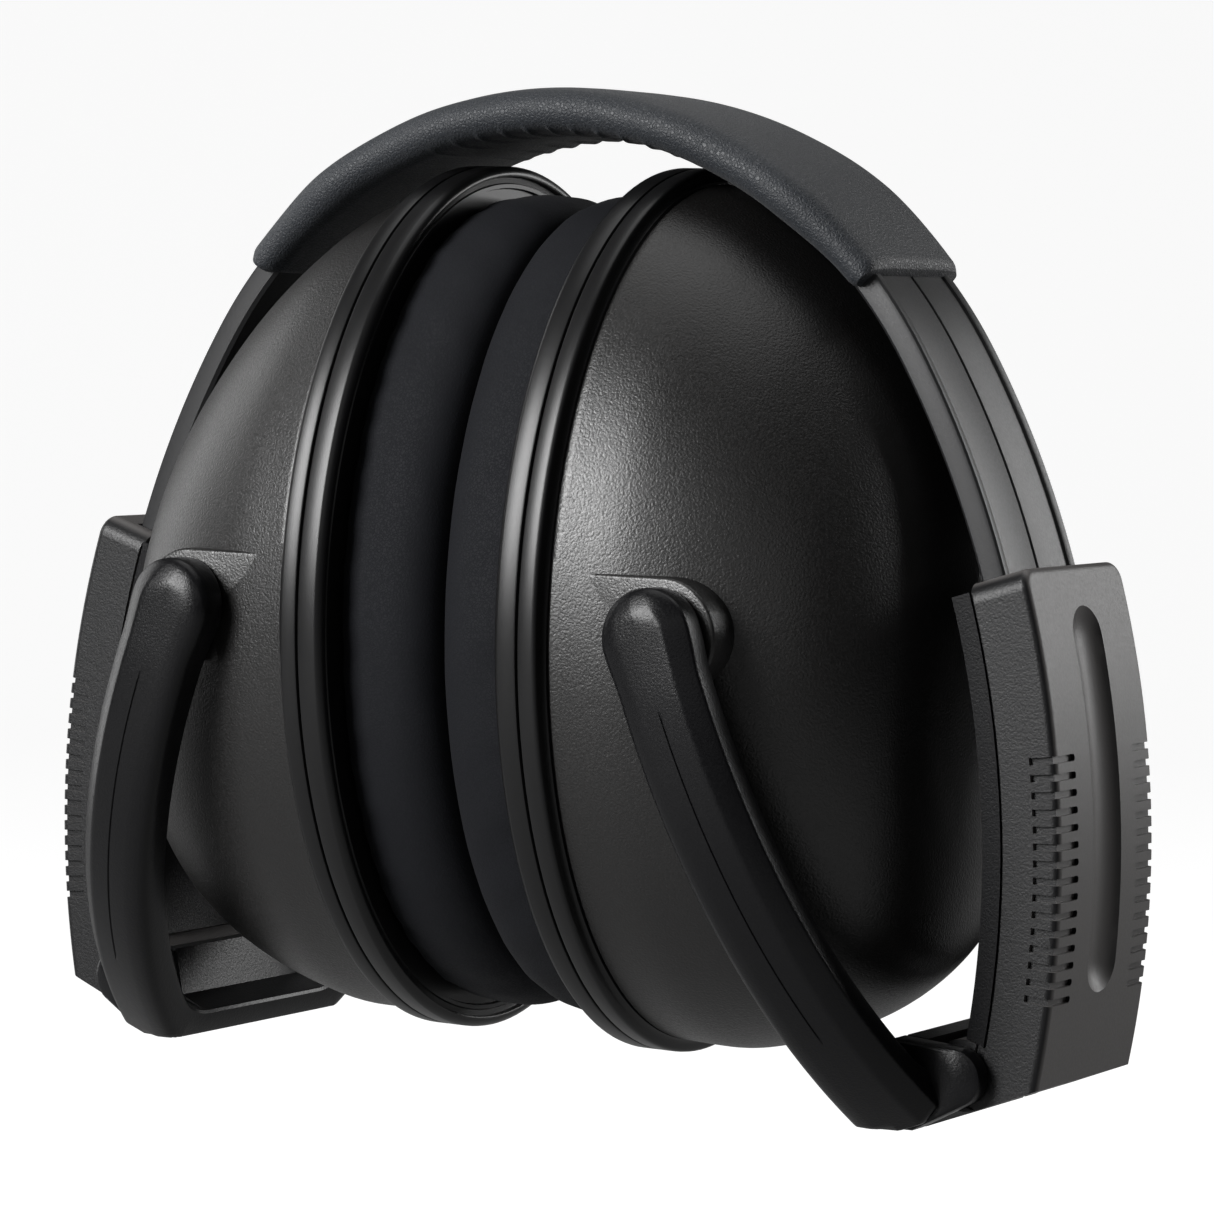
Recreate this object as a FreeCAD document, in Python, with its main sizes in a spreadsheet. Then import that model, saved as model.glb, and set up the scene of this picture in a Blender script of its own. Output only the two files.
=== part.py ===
"""Folding earmuff hearing protector, stored folded: both cups tucked up inside the headband.

+X is the wearer's one side, +Y runs fore and aft, +Z is up, and the origin is on the floor under
the middle of the object. All sizes are millimetres. The right half is modelled and the left half
is its mirror image.

The headband strip is two tangent arcs: a tight crown arc and, on each side, a wide side arc. The
sliders, which hold the strip's ends, are concentric with the side arcs, so that they travel along
them. A yoke hangs from each slider on a hinge pin, and a cup turns between the yoke's two arms.
"""
import FreeCAD
import Part
import math
import os

Vector = FreeCAD.Vector
X_AXIS = Vector(1, 0, 0)
Y_AXIS = Vector(0, 1, 0)
Z_AXIS = Vector(0, 0, 1)

DIMENSIONS = {
    # headband
    "SideCentreX": -49.3,       # centre of the right side arc
    "SideCentreZ": 27.7,
    "SideRadius": 115.0,        # outer face of the strip on the side arc
    "CrownCentreZ": 57.8,
    "StripThick": 3.0,
    "StripHalfWidth": 9.4,
    "StripEndAngle": -6.5,      # where the strip ends inside the slider
    "CrownGap": 0.9,            # each half strip starts this far from the middle
    "StopThick": 2.6,
    "StopLength": 4.0,
    # pad around the crown
    "PadOuter": 59.2,
    "PadInner": 52.9,
    "PadHalfWidth": 12.6,
    "PadHalfAngle": 48.0,
    "PadSkin": 0.8,
    # slider
    "SliderOuter": 119.0,
    "SliderInner": 109.5,
    "SliderParting": 111.8,
    "SliderHalfWidth": 12.4,
    "SliderTopAngle": 17.6,
    "SliderInnerTopAngle": 17.1,
    "SliderBottomAngle": -13.0,
    "ChannelHalfWidth": 9.7,
    "ChannelGap": 0.3,
    "ScoopDepth": 1.25,
    "ScoopHalfWidth": 3.6,
    "ScoopTopZ": 59.2,
    "ScoopBottomZ": 15.3,
    "GripCount": 15,
    "GripPitch": 1.94,
    "GripTopZ": 42.6,
    "GripDepth": 0.5,
    "GripWidth": 0.8,
    "GripReachFace": 5.0,
    "GripReachSide": 3.2,
    "SliderRound": 0.9,
    "SliderTopRound": 2.4,
    "SeamWidth": 0.3,
    "SeamDepth": 0.35,
    "DetentThick": 0.5,
    "DetentHalfWidth": 5.0,
    "DetentDeep": 1.15,         # from the parting face to the spring's lower face
    "DetentLowAngle": -2.0,
    "DetentHighAngle": 9.0,
    # hinge between slider and yoke
    "HingeX": 58.5,
    "HingeZ": 6.3,
    "BarrelRadius": 4.1,        # the slider's lower end
    "BarrelGap": 0.35,
    "ForkRadius": 3.4,          # the yoke's two cheeks
    "ForkInnerY": 12.6,
    "ForkOuterY": 15.4,
    "ForkDeepX": 54.1,
    "HingePinRadius": 1.5,
    "HingePinHalf": 14.6,
    "RunGap": 0.05,
    # yoke
    "PivotX": 32.4,
    "PivotZ": 55.3,
    "YokeLean": 20.4,
    "YokeOuterY": 42.0,
    "YokeThick": 4.8,
    "YokeHalfBand": 5.2,
    "YokeArcStart": 5.0,
    "YokeBarOuter": 59.0,
    "YokeBarInner": 54.0,
    "YokeCornerY": 16.7,
    "YokeEndRadius": 5.6,
    "YokeInnerFillet": 7.0,
    "YokeWideChamfer": 1.9,
    "YokeNarrowChamfer": 0.8,
    "YokeLineWidth": 0.3,
    "YokeLineDepth": 0.25,
    "YokeLineStart": 12.0,
    "PivotPinRadius": 2.2,
    "PivotPinIn": 31.0,
    "PivotPinOut": 40.4,
    "PivotBossRadius": 6.6,
    "PivotBossFace": 36.9,
    "PivotBossIn": 29.5,
    "PivotFlatStart": 19.5,
    "PivotFlatDeep": 2.2,
    # cup
    "CupCentreZ": 55.5,
    "RimHalfWidth": 39.5,
    "RimHalfHeight": 52.3,
    "PlateFront": 11.7,
    "PlateBack": 14.95,
    "RimFront": 15.0,
    "RimBack": 17.1,
    "PlateHoleHalfWidth": 19.0,
    "PlateHoleHalfHeight": 30.0,
    "ShellWall": 2.4,
    "FoamGap": 4.2,
    "FoamThick": 8.0,
    # cushion
    "CushionFront": 0.15,
    "CushionBack": 11.65,
    "CushionHalfWidth": 36.0,
    "CushionHalfHeight": 48.8,
    "CushionHoleHalfWidth": 18.0,
    "CushionHoleHalfHeight": 29.5,
    "CushionSkin": 0.7,
    "CushionRound": 3.8,
}

# Each dome section: distance from the middle plane, half width, top and bottom.
DOME_SECTIONS = [
    (17.1, 38.0, 106.5, 4.5),
    (20.5, 37.5, 105.3, 4.6),
    (26.0, 36.8, 102.9, 4.6),
    (31.0, 35.6, 99.6, 5.6),
    (36.0, 33.9, 95.4, 7.2),
    (41.0, 31.6, 90.0, 9.4),
    (45.5, 28.8, 84.0, 12.4),
    (49.2, 25.0, 77.2, 16.2),
    (51.8, 19.8, 69.6, 21.6),
    (53.2, 13.0, 61.0, 29.0),
]

# The slope that trims the slider's lower end, as an (x, z) outline. It stops the unfolded yoke.
NOSE_OUTLINE = [(50.0, -1.66), (72.0, 7.23), (72.0, -15.0), (50.0, -15.0)]

# Side outline of the yoke's foot, from its crossbar to the hinge, as (x, z) points.
FOOT_OUTLINE = [(49.2, 0.0), (54.0, 0.0), (60.2, 3.35), (58.5, 6.3), (58.9, 9.65), (51.4, 10.2)]

doc = FreeCAD.newDocument("earmuff")
sheet = doc.addObject("Spreadsheet::Sheet", "Dimensions")
for row, (alias, value) in enumerate(DIMENSIONS.items(), 1):
    sheet.set(f"A{row}", alias)
    sheet.set(f"B{row}", str(value))
    sheet.setAlias(f"B{row}", alias)
doc.recompute()


def dim(alias):
    """A size read from the sheet."""
    return float(sheet.get(alias))


def bind(obj, **cells):
    """Tie properties of a document object to expressions. A cell is written with a leading @."""
    for prop, text in cells.items():
        obj.setExpression(prop, text.replace("@", "Dimensions."))
    return obj


def feature(name, shape):
    """A document object that holds a shape made with Part's own functions."""
    obj = doc.addObject("Part::Feature", name)
    obj.Shape = shape
    return obj


def boolean(kind, name, base, tool):
    """A Part boolean, Cut, Fuse or Common, of two document objects."""
    obj = doc.addObject(f"Part::{kind}", name)
    obj.Base = base
    obj.Tool = tool
    return obj


def fuse_all(name, *shapes):
    """A union of several document objects."""
    obj = doc.addObject("Part::MultiFuse", name)
    obj.Shapes = list(shapes)
    return obj


def rod(name, x, z, y_low, radius, length):
    """A cylinder along +Y from y_low, with its radius and length bound to the sheet."""
    obj = doc.addObject("Part::Cylinder", name)
    bind(obj, Radius=radius, Height=length)
    obj.Placement = FreeCAD.Placement(Vector(x, y_low, z), FreeCAD.Rotation(X_AXIS, -90))
    return obj


UPRIGHT = FreeCAD.Rotation(Z_AXIS, Y_AXIS, -X_AXIS, "XYZ")


def oval_plate(name, front, back, half_width, half_height):
    """An upright oval slab between two distances from the middle plane, all given as expressions."""
    outline = doc.addObject("Part::Ellipse", f"{name}_outline")
    outline.Placement = FreeCAD.Placement(Vector(0, 0, dim("CupCentreZ")), UPRIGHT)
    bind(outline, MajorRadius=half_height, MinorRadius=half_width, **{"Placement.Base.x": front})
    slab = doc.addObject("Part::Extrusion", name)
    slab.Base = outline
    slab.DirMode = "Custom"
    slab.Dir = X_AXIS
    slab.Solid = True
    bind(slab, LengthFwd=f"{back} - ({front})")
    return slab


def oval_loft(name, sections):
    """A smooth solid through upright ovals, each given as (x, half width, top, bottom)."""
    outlines = []
    for number, (x, half_width, top, bottom) in enumerate(sections, 1):
        outline = doc.addObject("Part::Ellipse", f"{name}_section_{number}")
        outline.MajorRadius = (top - bottom) / 2
        outline.MinorRadius = half_width
        outline.Placement = FreeCAD.Placement(Vector(x, 0, (top + bottom) / 2), UPRIGHT)
        outlines.append(outline)
    loft = doc.addObject("Part::Loft", name)
    loft.Sections = outlines
    loft.Solid = True
    loft.Ruled = False
    return loft


def ring_sector(centre, radii, angles, half_width):
    """A curved slab along Y: the space between two radii and two angles about centre (x, z).

    Angles are in degrees, counted from +X towards +Z.
    """
    start, end = (math.radians(angle) for angle in angles)
    inner, outer = radii
    middle = (start + end) / 2

    def at(radius, angle):
        return Vector(centre[0] + radius * math.cos(angle), -half_width,
                      centre[1] + radius * math.sin(angle))

    edges = [
        Part.Arc(at(outer, start), at(outer, middle), at(outer, end)).toShape(),
        Part.LineSegment(at(outer, end), at(inner, end)).toShape(),
        Part.Arc(at(inner, end), at(inner, middle), at(inner, start)).toShape(),
        Part.LineSegment(at(inner, start), at(outer, start)).toShape(),
    ]
    return Part.Face(Part.Wire(edges)).extrude(Vector(0, 2 * half_width, 0))


def prism(points, y_low, y_high):
    """A prism along Y over a closed outline of (x, z) points."""
    corners = [Vector(x, y_low, z) for x, z in points]
    outline = Part.makePolygon(corners + corners[:1])
    return Part.Face(outline).extrude(Vector(0, y_high - y_low, 0))


SIDE_CENTRE = (dim("SideCentreX"), dim("SideCentreZ"))
CROWN_CENTRE = (0.0, dim("CrownCentreZ"))
HINGE = (dim("HingeX"), dim("HingeZ"))
PIVOT = (dim("PivotX"), dim("PivotZ"))
CENTRE_GAP = math.hypot(SIDE_CENTRE[0], CROWN_CENTRE[1] - SIDE_CENTRE[1])
CROWN_RADIUS = dim("SideRadius") - CENTRE_GAP
JOIN_ANGLE = math.degrees(math.atan2(CROWN_CENTRE[1] - SIDE_CENTRE[1], -SIDE_CENTRE[0]))


# ---- headband ----

def strip_slab(clearance, half_width, low_angle, crown_gap):
    """Half of the strip: a side arc that runs on, tangent, into half of the crown arc."""
    inner = dim("StripThick") + clearance
    side = ring_sector(SIDE_CENTRE, (dim("SideRadius") - inner, dim("SideRadius") + clearance),
                       (low_angle, JOIN_ANGLE), half_width)
    crown = ring_sector(CROWN_CENTRE, (CROWN_RADIUS - inner, CROWN_RADIUS + clearance),
                        (JOIN_ANGLE, 90.0), half_width)
    slab = side.fuse(crown).removeSplitter()
    if crown_gap > 0:
        slab = slab.cut(Part.makeBox(2 * crown_gap, 40, 40, Vector(-crown_gap, -20, CROWN_CENTRE[1] + 40)))
    return slab


def make_band():
    """One half of the spring strip, with the stop on its end."""
    strip = feature("band_strip_body", strip_slab(0.0, dim("StripHalfWidth"), dim("StripEndAngle"),
                                                  dim("CrownGap")))
    radius = dim("SideRadius") - dim("StripThick") / 2
    span = math.degrees(dim("StopLength") / radius)
    start = dim("StripEndAngle")
    stop = ring_sector(SIDE_CENTRE, (radius - dim("StopThick") / 2, radius + dim("StopThick") / 2),
                       (start - span, start - 0.02), dim("StripHalfWidth"))
    return strip, feature("band_end_stop", stop)


def make_pad():
    """The crown pad: a thin sleeve around foam, with a slot through both for the strip."""
    angles = (90 - dim("PadHalfAngle"), 90 + dim("PadHalfAngle"))
    skin = dim("PadSkin")
    outer = ring_sector(CROWN_CENTRE, (dim("PadInner"), dim("PadOuter")), angles, dim("PadHalfWidth"))
    outer = outer.makeFillet(1.4, [edge for edge in outer.Edges if edge.Curve.TypeId == "Part::GeomCircle"])
    core = ring_sector(CROWN_CENTRE, (dim("PadInner") + skin, dim("PadOuter") - skin),
                       (angles[0] - 1, angles[1] + 1), dim("PadHalfWidth") - skin)
    core = core.makeFillet(0.8, [edge for edge in core.Edges if edge.Curve.TypeId == "Part::GeomCircle"])
    slot = strip_slab(dim("RunGap"), dim("StripHalfWidth") + dim("RunGap"), 0.0, 0.0)
    slot = slot.fuse(slot.mirror(Vector(0, 0, 0), X_AXIS))
    cover = outer.cut(core)
    within = ring_sector(CROWN_CENTRE, (dim("PadInner"), dim("PadOuter")), angles, dim("PadHalfWidth"))
    foam = core.common(within).cut(slot)
    return feature("pad_cover", cover), feature("pad_foam", foam)


# ---- slider ----

def slider_slab(inner, outer, top="SliderTopAngle"):
    """The slider's outline between two radii, up to the angle in the cell named top."""
    return ring_sector(SIDE_CENTRE, (inner, outer), (dim("SliderBottomAngle"), dim(top)),
                       dim("SliderHalfWidth"))


def grip_grooves():
    """Short round-ended grooves that wrap the slider's two outer edges, in a row down each edge."""
    outer, wide = dim("SliderOuter"), dim("SliderHalfWidth")
    half, depth = dim("GripWidth") / 2, dim("GripDepth")
    end_y = wide - dim("GripReachFace") + half
    grooves = []
    for number in range(int(dim("GripCount"))):
        height = dim("GripTopZ") - number * dim("GripPitch") - SIDE_CENTRE[1]
        angle = math.degrees(math.asin(height / outer))
        for side in (1, -1):
            face_y, side_y = (end_y, wide - depth) if side > 0 else (-wide - 1, -wide - 1)
            face_cut = Part.makeBox(3, wide + 1 - end_y, 2 * half, Vector(outer - depth, face_y, -half))
            round_end = Part.makeCylinder(half, 3, Vector(outer - depth, side * end_y, 0), X_AXIS)
            side_cut = Part.makeBox(dim("GripReachSide") + 3, depth + 1, 2 * half,
                                    Vector(outer - dim("GripReachSide"), side_y, -half))
            groove = face_cut.multiFuse([round_end, side_cut])
            groove.rotate(Vector(0, 0, 0), Y_AXIS, -angle)
            groove.translate(Vector(SIDE_CENTRE[0], 0, SIDE_CENTRE[1]))
            grooves.append(groove)
    return Part.makeCompound(grooves)


def scoop():
    """What scoops the long hollow down the slider's outer face: a bent rod with ball ends."""
    half, depth, outer = dim("ScoopHalfWidth"), dim("ScoopDepth"), dim("SliderOuter")
    rod_radius = (half ** 2 + depth ** 2) / (2 * depth)
    path_radius = outer - depth + rod_radius
    angles = [math.degrees(math.asin((z - SIDE_CENTRE[1]) / outer))
              for z in (dim("ScoopBottomZ") + half, dim("ScoopTopZ") - half)]
    bend = Part.makeTorus(path_radius, rod_radius, Vector(0, 0, 0), Z_AXIS, 0, 360, angles[1] - angles[0])
    bend.rotate(Vector(0, 0, 0), X_AXIS, 90)
    bend.rotate(Vector(0, 0, 0), Y_AXIS, -angles[0])
    bend.translate(Vector(SIDE_CENTRE[0], 0, SIDE_CENTRE[1]))
    balls = []
    for angle in angles:
        turn = math.radians(angle)
        balls.append(Part.makeSphere(rod_radius, Vector(SIDE_CENTRE[0] + path_radius * math.cos(turn), 0,
                                                        SIDE_CENTRE[1] + path_radius * math.sin(turn))))
    return bend, balls


def hinge_rod(radius, half_length):
    """A cylinder along the slider's hinge."""
    return Part.makeCylinder(radius, 2 * half_length, Vector(HINGE[0], -half_length, HINGE[1]), Y_AXIS)


def make_outer_shell():
    """The slider's outer shell: rounded, hollowed and grooved outside, with the strip's channel inside."""
    parting, half = dim("SliderParting"), dim("SliderHalfWidth")
    shell = slider_slab(parting, dim("SliderOuter"))
    top_z = shell.BoundBox.ZMax - 10
    top_corners = [edge for edge in shell.Edges if edge.Curve.TypeId == "Part::GeomLine"
                   and edge.BoundBox.ZMin > top_z and edge.BoundBox.YLength < 0.01]
    shell = shell.makeFillet(dim("SliderTopRound"), top_corners)
    long_edges = [edge for edge in shell.Edges
                  if edge.Curve.TypeId == "Part::GeomCircle" and edge.Curve.Radius > dim("SliderOuter") - 0.1]
    shell = shell.makeFillet(dim("SliderRound"), long_edges)
    channel = ring_sector(SIDE_CENTRE, (parting - 1, dim("SideRadius") + dim("ChannelGap")),
                          (dim("StripEndAngle") - 2.6, 30), dim("ChannelHalfWidth"))
    seam = slider_slab(parting - 1, parting + dim("SeamWidth"))
    seam = seam.cut(ring_sector(SIDE_CENTRE, (parting - 2, parting + 2), (-30, 30), half - dim("SeamDepth")))
    shell = shell.cut(prism(NOSE_OUTLINE, -20, 20)).fuse(hinge_rod(dim("BarrelRadius"), half))
    bend, balls = scoop()
    for tool in [channel, hinge_rod(dim("HingePinRadius"), 20), seam, grip_grooves(), bend] + balls:
        shell = shell.cut(tool)
    return feature("slider_outer_shell", largest(shell))


def make_inner_shell():
    """The slider's inner shell, with the pocket for the detent spring, and the spring itself."""
    parting, gap = dim("SliderParting"), dim("RunGap")
    shell = slider_slab(dim("SliderInner"), parting - gap, "SliderInnerTopAngle")
    clear_barrel = hinge_rod(dim("BarrelRadius") + 2 * gap, dim("SliderHalfWidth") + 1)
    shell = shell.cut(clear_barrel).cut(prism(NOSE_OUTLINE, -20, 20))
    low, high = dim("DetentLowAngle"), dim("DetentHighAngle")
    bed, wide = parting - dim("DetentDeep"), dim("DetentHalfWidth")
    pocket = ring_sector(SIDE_CENTRE, (bed - gap, parting + 1), (low, high), wide + 2 * gap)
    leaf = ring_sector(SIDE_CENTRE, (bed, bed + dim("DetentThick")), (low + 2 * gap, high - 2 * gap), wide)
    return (feature("slider_inner_shell", largest(shell.cut(pocket))),
            feature("slider_detent_spring", leaf))


def make_slider():
    """The two slider shells, the detent spring between them and the yoke's hinge pin."""
    pin = rod("hinge_pin", HINGE[0], HINGE[1], -dim("HingePinHalf"), "@HingePinRadius", "2 * @HingePinHalf")
    return (make_outer_shell(), *make_inner_shell(), pin)


def largest(shape):
    """The biggest solid of a shape, once booleans have trimmed off slivers."""
    return max(shape.Solids, key=lambda solid: solid.Volume)


# ---- yoke ----

def make_yoke():
    """The yoke: a leaning hoop, two pivot ends, a foot and a pair of hinge knuckles."""
    lean = math.radians(dim("YokeLean"))
    along = Vector(math.sin(lean), 0, -math.cos(lean))
    across = Vector(math.cos(lean), 0, math.sin(lean))
    pivot = Vector(PIVOT[0], 0, PIVOT[1])
    band = dim("YokeHalfBand")

    def at(y, s):
        return pivot + along * s + Y_AXIS * y - across * band

    outer_y, thick, start = dim("YokeOuterY"), dim("YokeThick"), dim("YokeArcStart")
    corner_y, bar_out, bar_in = dim("YokeCornerY"), dim("YokeBarOuter"), dim("YokeBarInner")
    drop = outer_y - corner_y
    outer_radius = (drop ** 2 + (bar_out - start) ** 2) / (2 * drop)
    centre_y = outer_y - outer_radius

    def arc(radius, s_low, s_high, side):
        def point(s):
            return at(side * (centre_y + math.sqrt(radius ** 2 - (s - start) ** 2)), s)
        return Part.Arc(point(s_low), point((s_low + s_high) / 2), point(s_high)).toShape()

    def line(first, second):
        return Part.LineSegment(at(*first), at(*second)).toShape()

    inner_radius = outer_radius - thick
    inner_y = centre_y + math.sqrt(inner_radius ** 2 - (bar_in - start) ** 2)
    edges = [
        line((outer_y, 0), (outer_y, start)), arc(outer_radius, start, bar_out, 1),
        line((corner_y, bar_out), (-corner_y, bar_out)), arc(outer_radius, start, bar_out, -1),
        line((-outer_y, start), (-outer_y, 0)), line((-outer_y, 0), (thick - outer_y, 0)),
        line((thick - outer_y, 0), (thick - outer_y, start)), arc(inner_radius, start, bar_in, -1),
        line((-inner_y, bar_in), (inner_y, bar_in)), arc(inner_radius, start, bar_in, 1),
        line((outer_y - thick, start), (outer_y - thick, 0)), line((outer_y - thick, 0), (outer_y, 0)),
    ]
    hoop = Part.Face(Part.Wire(Part.__sortEdges__(edges))).extrude(across * (2 * band))
    inner_corners = [edge for edge in hoop.Edges
                     if len(edge.Vertexes) == 2 and edge.Curve.TypeId == "Part::GeomLine"
                     and all(abs(abs(v.Point.y) - inner_y) < 0.01 for v in edge.Vertexes)
                     and abs((edge.Vertexes[0].Point - pivot).dot(along) - bar_in) < 0.01
                     and abs(edge.Length - 2 * band) < 0.01]
    hoop = hoop.makeFillet(dim("YokeInnerFillet"), inner_corners)
    for low, high, size in ((2 * band - 0.01, 2 * band + 0.01, dim("YokeWideChamfer")),
                            (-0.01, 0.01, dim("YokeNarrowChamfer"))):
        rims = [edge for edge in hoop.Edges if edge.Curve.TypeId == "Part::GeomCircle"
                and abs(edge.Curve.Radius - outer_radius) < 0.01
                and low < (edge.Vertexes[0].Point - at(0, 0)).dot(across) < high]
        hoop = hoop.makeChamfer(size, rims)
    line_deep = outer_radius - dim("YokeLineDepth")
    for side in (1, -1):
        low, high = start + dim("YokeLineStart"), bar_out - 12
        strokes = [arc(line_deep, low, high, side), arc(outer_radius + 1, low, high, side)]
        ends = [Part.LineSegment(strokes[0].valueAt(strokes[0].FirstParameter),
                                 strokes[1].valueAt(strokes[1].FirstParameter)).toShape(),
                Part.LineSegment(strokes[0].valueAt(strokes[0].LastParameter),
                                 strokes[1].valueAt(strokes[1].LastParameter)).toShape()]
        stroke = Part.Face(Part.Wire(Part.__sortEdges__(strokes + ends)))
        stroke = stroke.extrude(across * dim("YokeLineWidth"))
        stroke.translate(across * (band - dim("YokeLineWidth") / 2))
        hoop = hoop.cut(stroke)

    fork_in, fork_out = dim("ForkInnerY"), dim("ForkOuterY")
    foot = prism(FOOT_OUTLINE, -fork_out, fork_out)
    knuckle = hinge_rod(dim("ForkRadius"), fork_out)
    ends = [Part.makeCylinder(dim("YokeEndRadius"), thick, Vector(PIVOT[0], y, PIVOT[1]), Y_AXIS)
            for y in (outer_y - thick, -outer_y)]
    body = hoop.multiFuse([foot, knuckle] + ends)
    slot = hinge_rod(dim("BarrelRadius") + dim("BarrelGap"), fork_in)
    slot = slot.fuse(Part.makeBox(30, 2 * fork_in, 40, Vector(dim("ForkDeepX"), -fork_in, -20)))
    pin_bore = hinge_rod(dim("HingePinRadius") + dim("RunGap"), dim("HingePinHalf") + dim("RunGap"))
    pin_out = dim("PivotPinOut")
    pivot_bore = Part.makeCylinder(dim("PivotPinRadius"), 2 * pin_out, Vector(PIVOT[0], -pin_out, PIVOT[1]),
                                   Y_AXIS)
    floor = Part.makeBox(200, 200, 20, Vector(-100, -100, -20))
    body = body.cut(slot).cut(pin_bore).cut(pivot_bore).cut(floor).removeSplitter()
    length = "@PivotPinOut - @PivotPinIn"
    front = rod("pivot_pin_front", PIVOT[0], PIVOT[1], -pin_out, "@PivotPinRadius", length)
    rear = rod("pivot_pin_rear", PIVOT[0], PIVOT[1], dim("PivotPinIn"), "@PivotPinRadius", length)
    return feature("yoke", largest(body)), front, rear


# ---- cup ----

def inset(sections, wall, front, back):
    """Dome sections moved inwards by a wall, and squeezed between two distances."""
    first, last = sections[0][0], sections[-1][0]
    scale = (back - front) / (last - first)
    return [(front + (x - first) * scale, width - wall, top - wall, bottom + wall)
            for x, width, top, bottom in sections]


def make_cup():
    """The cup's shell, its foam insert, the plate that closes it, and the ear cushion."""
    wall, run = dim("ShellWall"), dim("RunGap")
    dome = oval_loft("dome_outer", DOME_SECTIONS)
    flange = oval_plate("shell_flange", "@RimFront", "@RimBack + 0.01", "@RimHalfWidth", "@RimHalfHeight")
    body = boolean("Fuse", "dome_on_flange", dome, flange)
    bosses = []
    for name, low in (("front", -dim("PivotBossFace")), ("rear", dim("PivotBossIn"))):
        bosses.append(rod(f"pivot_boss_{name}", PIVOT[0], PIVOT[1], low, "@PivotBossRadius",
                          "@PivotBossFace - @PivotBossIn"))
    back = DOME_SECTIONS[-1][0] - wall
    hollow = oval_loft("dome_hollow", inset(DOME_SECTIONS, wall, dim("RimFront") - 0.5, back))
    open_body = boolean("Cut", "dome_open", body, hollow)
    flat_start, boss_radius, pin_in = dim("PivotFlatStart"), dim("PivotBossRadius"), dim("PivotPinIn") - run
    flat_deep = dim("PivotBossFace") - dim("PivotFlatDeep")
    trims = []
    for side in (1, -1):
        low = flat_deep if side > 0 else -dim("PivotBossFace")
        pad = Part.makeBox(PIVOT[0] - flat_start, dim("PivotFlatDeep"), 2 * boss_radius,
                           Vector(flat_start, low, PIVOT[1] - boss_radius))
        bosses.append(feature("pivot_flat", pad))
        face = dim("PivotBossFace") if side > 0 else -dim("PivotBossFace") - 10
        trims.append(Part.makeCylinder(boss_radius, 10, Vector(PIVOT[0], face, PIVOT[1]), Y_AXIS))
        trims.append(Part.makeCylinder(dim("PivotPinRadius") + run, 50,
                                       Vector(PIVOT[0], side * pin_in, PIVOT[1]), Y_AXIS * side))
    with_bosses = fuse_all("dome_bossed", open_body, *bosses)
    flats = feature("pivot_flats", trims[0].multiFuse(trims[1:]))
    shell = boolean("Cut", "cup_shell", with_bosses, flats)

    foam_in, thick = wall + dim("FoamGap"), dim("FoamThick")
    foam_body = oval_loft("foam_outer", inset(DOME_SECTIONS, foam_in, dim("RimFront") + 0.3, back - 0.4))
    foam_room = oval_loft("foam_room", inset(DOME_SECTIONS[:7], foam_in + thick, dim("RimFront") - 0.2,
                                             DOME_SECTIONS[6][0] - thick))
    foam = boolean("Cut", "cup_foam", foam_body, foam_room)

    disc = oval_plate("plate_disc", "@PlateFront", "@PlateBack", "@RimHalfWidth", "@RimHalfHeight")
    mouth = oval_plate("plate_mouth", "@PlateFront - 1", "@PlateBack + 1", "@PlateHoleHalfWidth",
                       "@PlateHoleHalfHeight")
    plate = boolean("Cut", "cushion_plate", disc, mouth)

    def ring(name, skin, front_inset):
        solid = oval_plate(f"{name}_solid", f"@CushionFront + {front_inset}", "@CushionBack",
                           f"@CushionHalfWidth - {skin}", f"@CushionHalfHeight - {skin}")
        hole = oval_plate(f"{name}_hole", "@CushionFront - 1", "@CushionBack + 1",
                          f"@CushionHoleHalfWidth + {skin}", f"@CushionHoleHalfHeight + {skin}")
        return boolean("Cut", f"{name}_ring", solid, hole)

    outer_ring = ring("cover", 0, 0)
    inner_ring = ring("core", dim("CushionSkin"), dim("CushionSkin"))
    doc.recompute()
    shapes = []
    for source, front, radius in ((outer_ring, dim("CushionFront"), dim("CushionRound")),
                                  (inner_ring, dim("CushionFront") + dim("CushionSkin"),
                                   dim("CushionRound") - dim("CushionSkin"))):
        edges = [edge for edge in source.Shape.Edges
                 if abs(edge.BoundBox.XMin - front) < 0.01 and abs(edge.BoundBox.XMax - front) < 0.01]
        shapes.append(source.Shape.makeFillet(radius, edges))
    cover = feature("cushion_cover", shapes[0].cut(shapes[1]))
    cushion_foam = feature("cushion_foam", shapes[1])
    return shell, foam, plate, cover, cushion_foam


# ---- both sides ----

def name_pair(name, source):
    """Label a right-hand piece and make its mirror image on the left."""
    source.Label = f"{name}_right"
    twin = doc.addObject("Part::Mirroring", f"{name}_mirrored")
    twin.Source = source
    twin.Normal = X_AXIS
    twin.Label = f"{name}_left"
    return [source, twin]


def build():
    """Every sub-part, as document objects whose labels name their files."""
    pad_cover, pad_foam = make_pad()
    pieces = [pad_cover, pad_foam]
    strip, stop = make_band()
    outer_shell, inner_shell, spring, pin = make_slider()
    yoke, front_pin, rear_pin = make_yoke()
    shell, foam, plate, cover, cushion_foam = make_cup()
    pairs = {
        "band_strip": strip, "band_end_stop": stop, "slider_outer_shell": outer_shell,
        "slider_inner_shell": inner_shell, "slider_detent_spring": spring, "hinge_pin": pin,
        "yoke": yoke, "pivot_pin_front": front_pin, "pivot_pin_rear": rear_pin, "cup_shell": shell,
        "cup_foam": foam, "cushion_plate": plate, "cushion_cover": cover, "cushion_foam": cushion_foam,
    }
    for name, source in pairs.items():
        pieces += name_pair(name, source)
    return pieces


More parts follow.
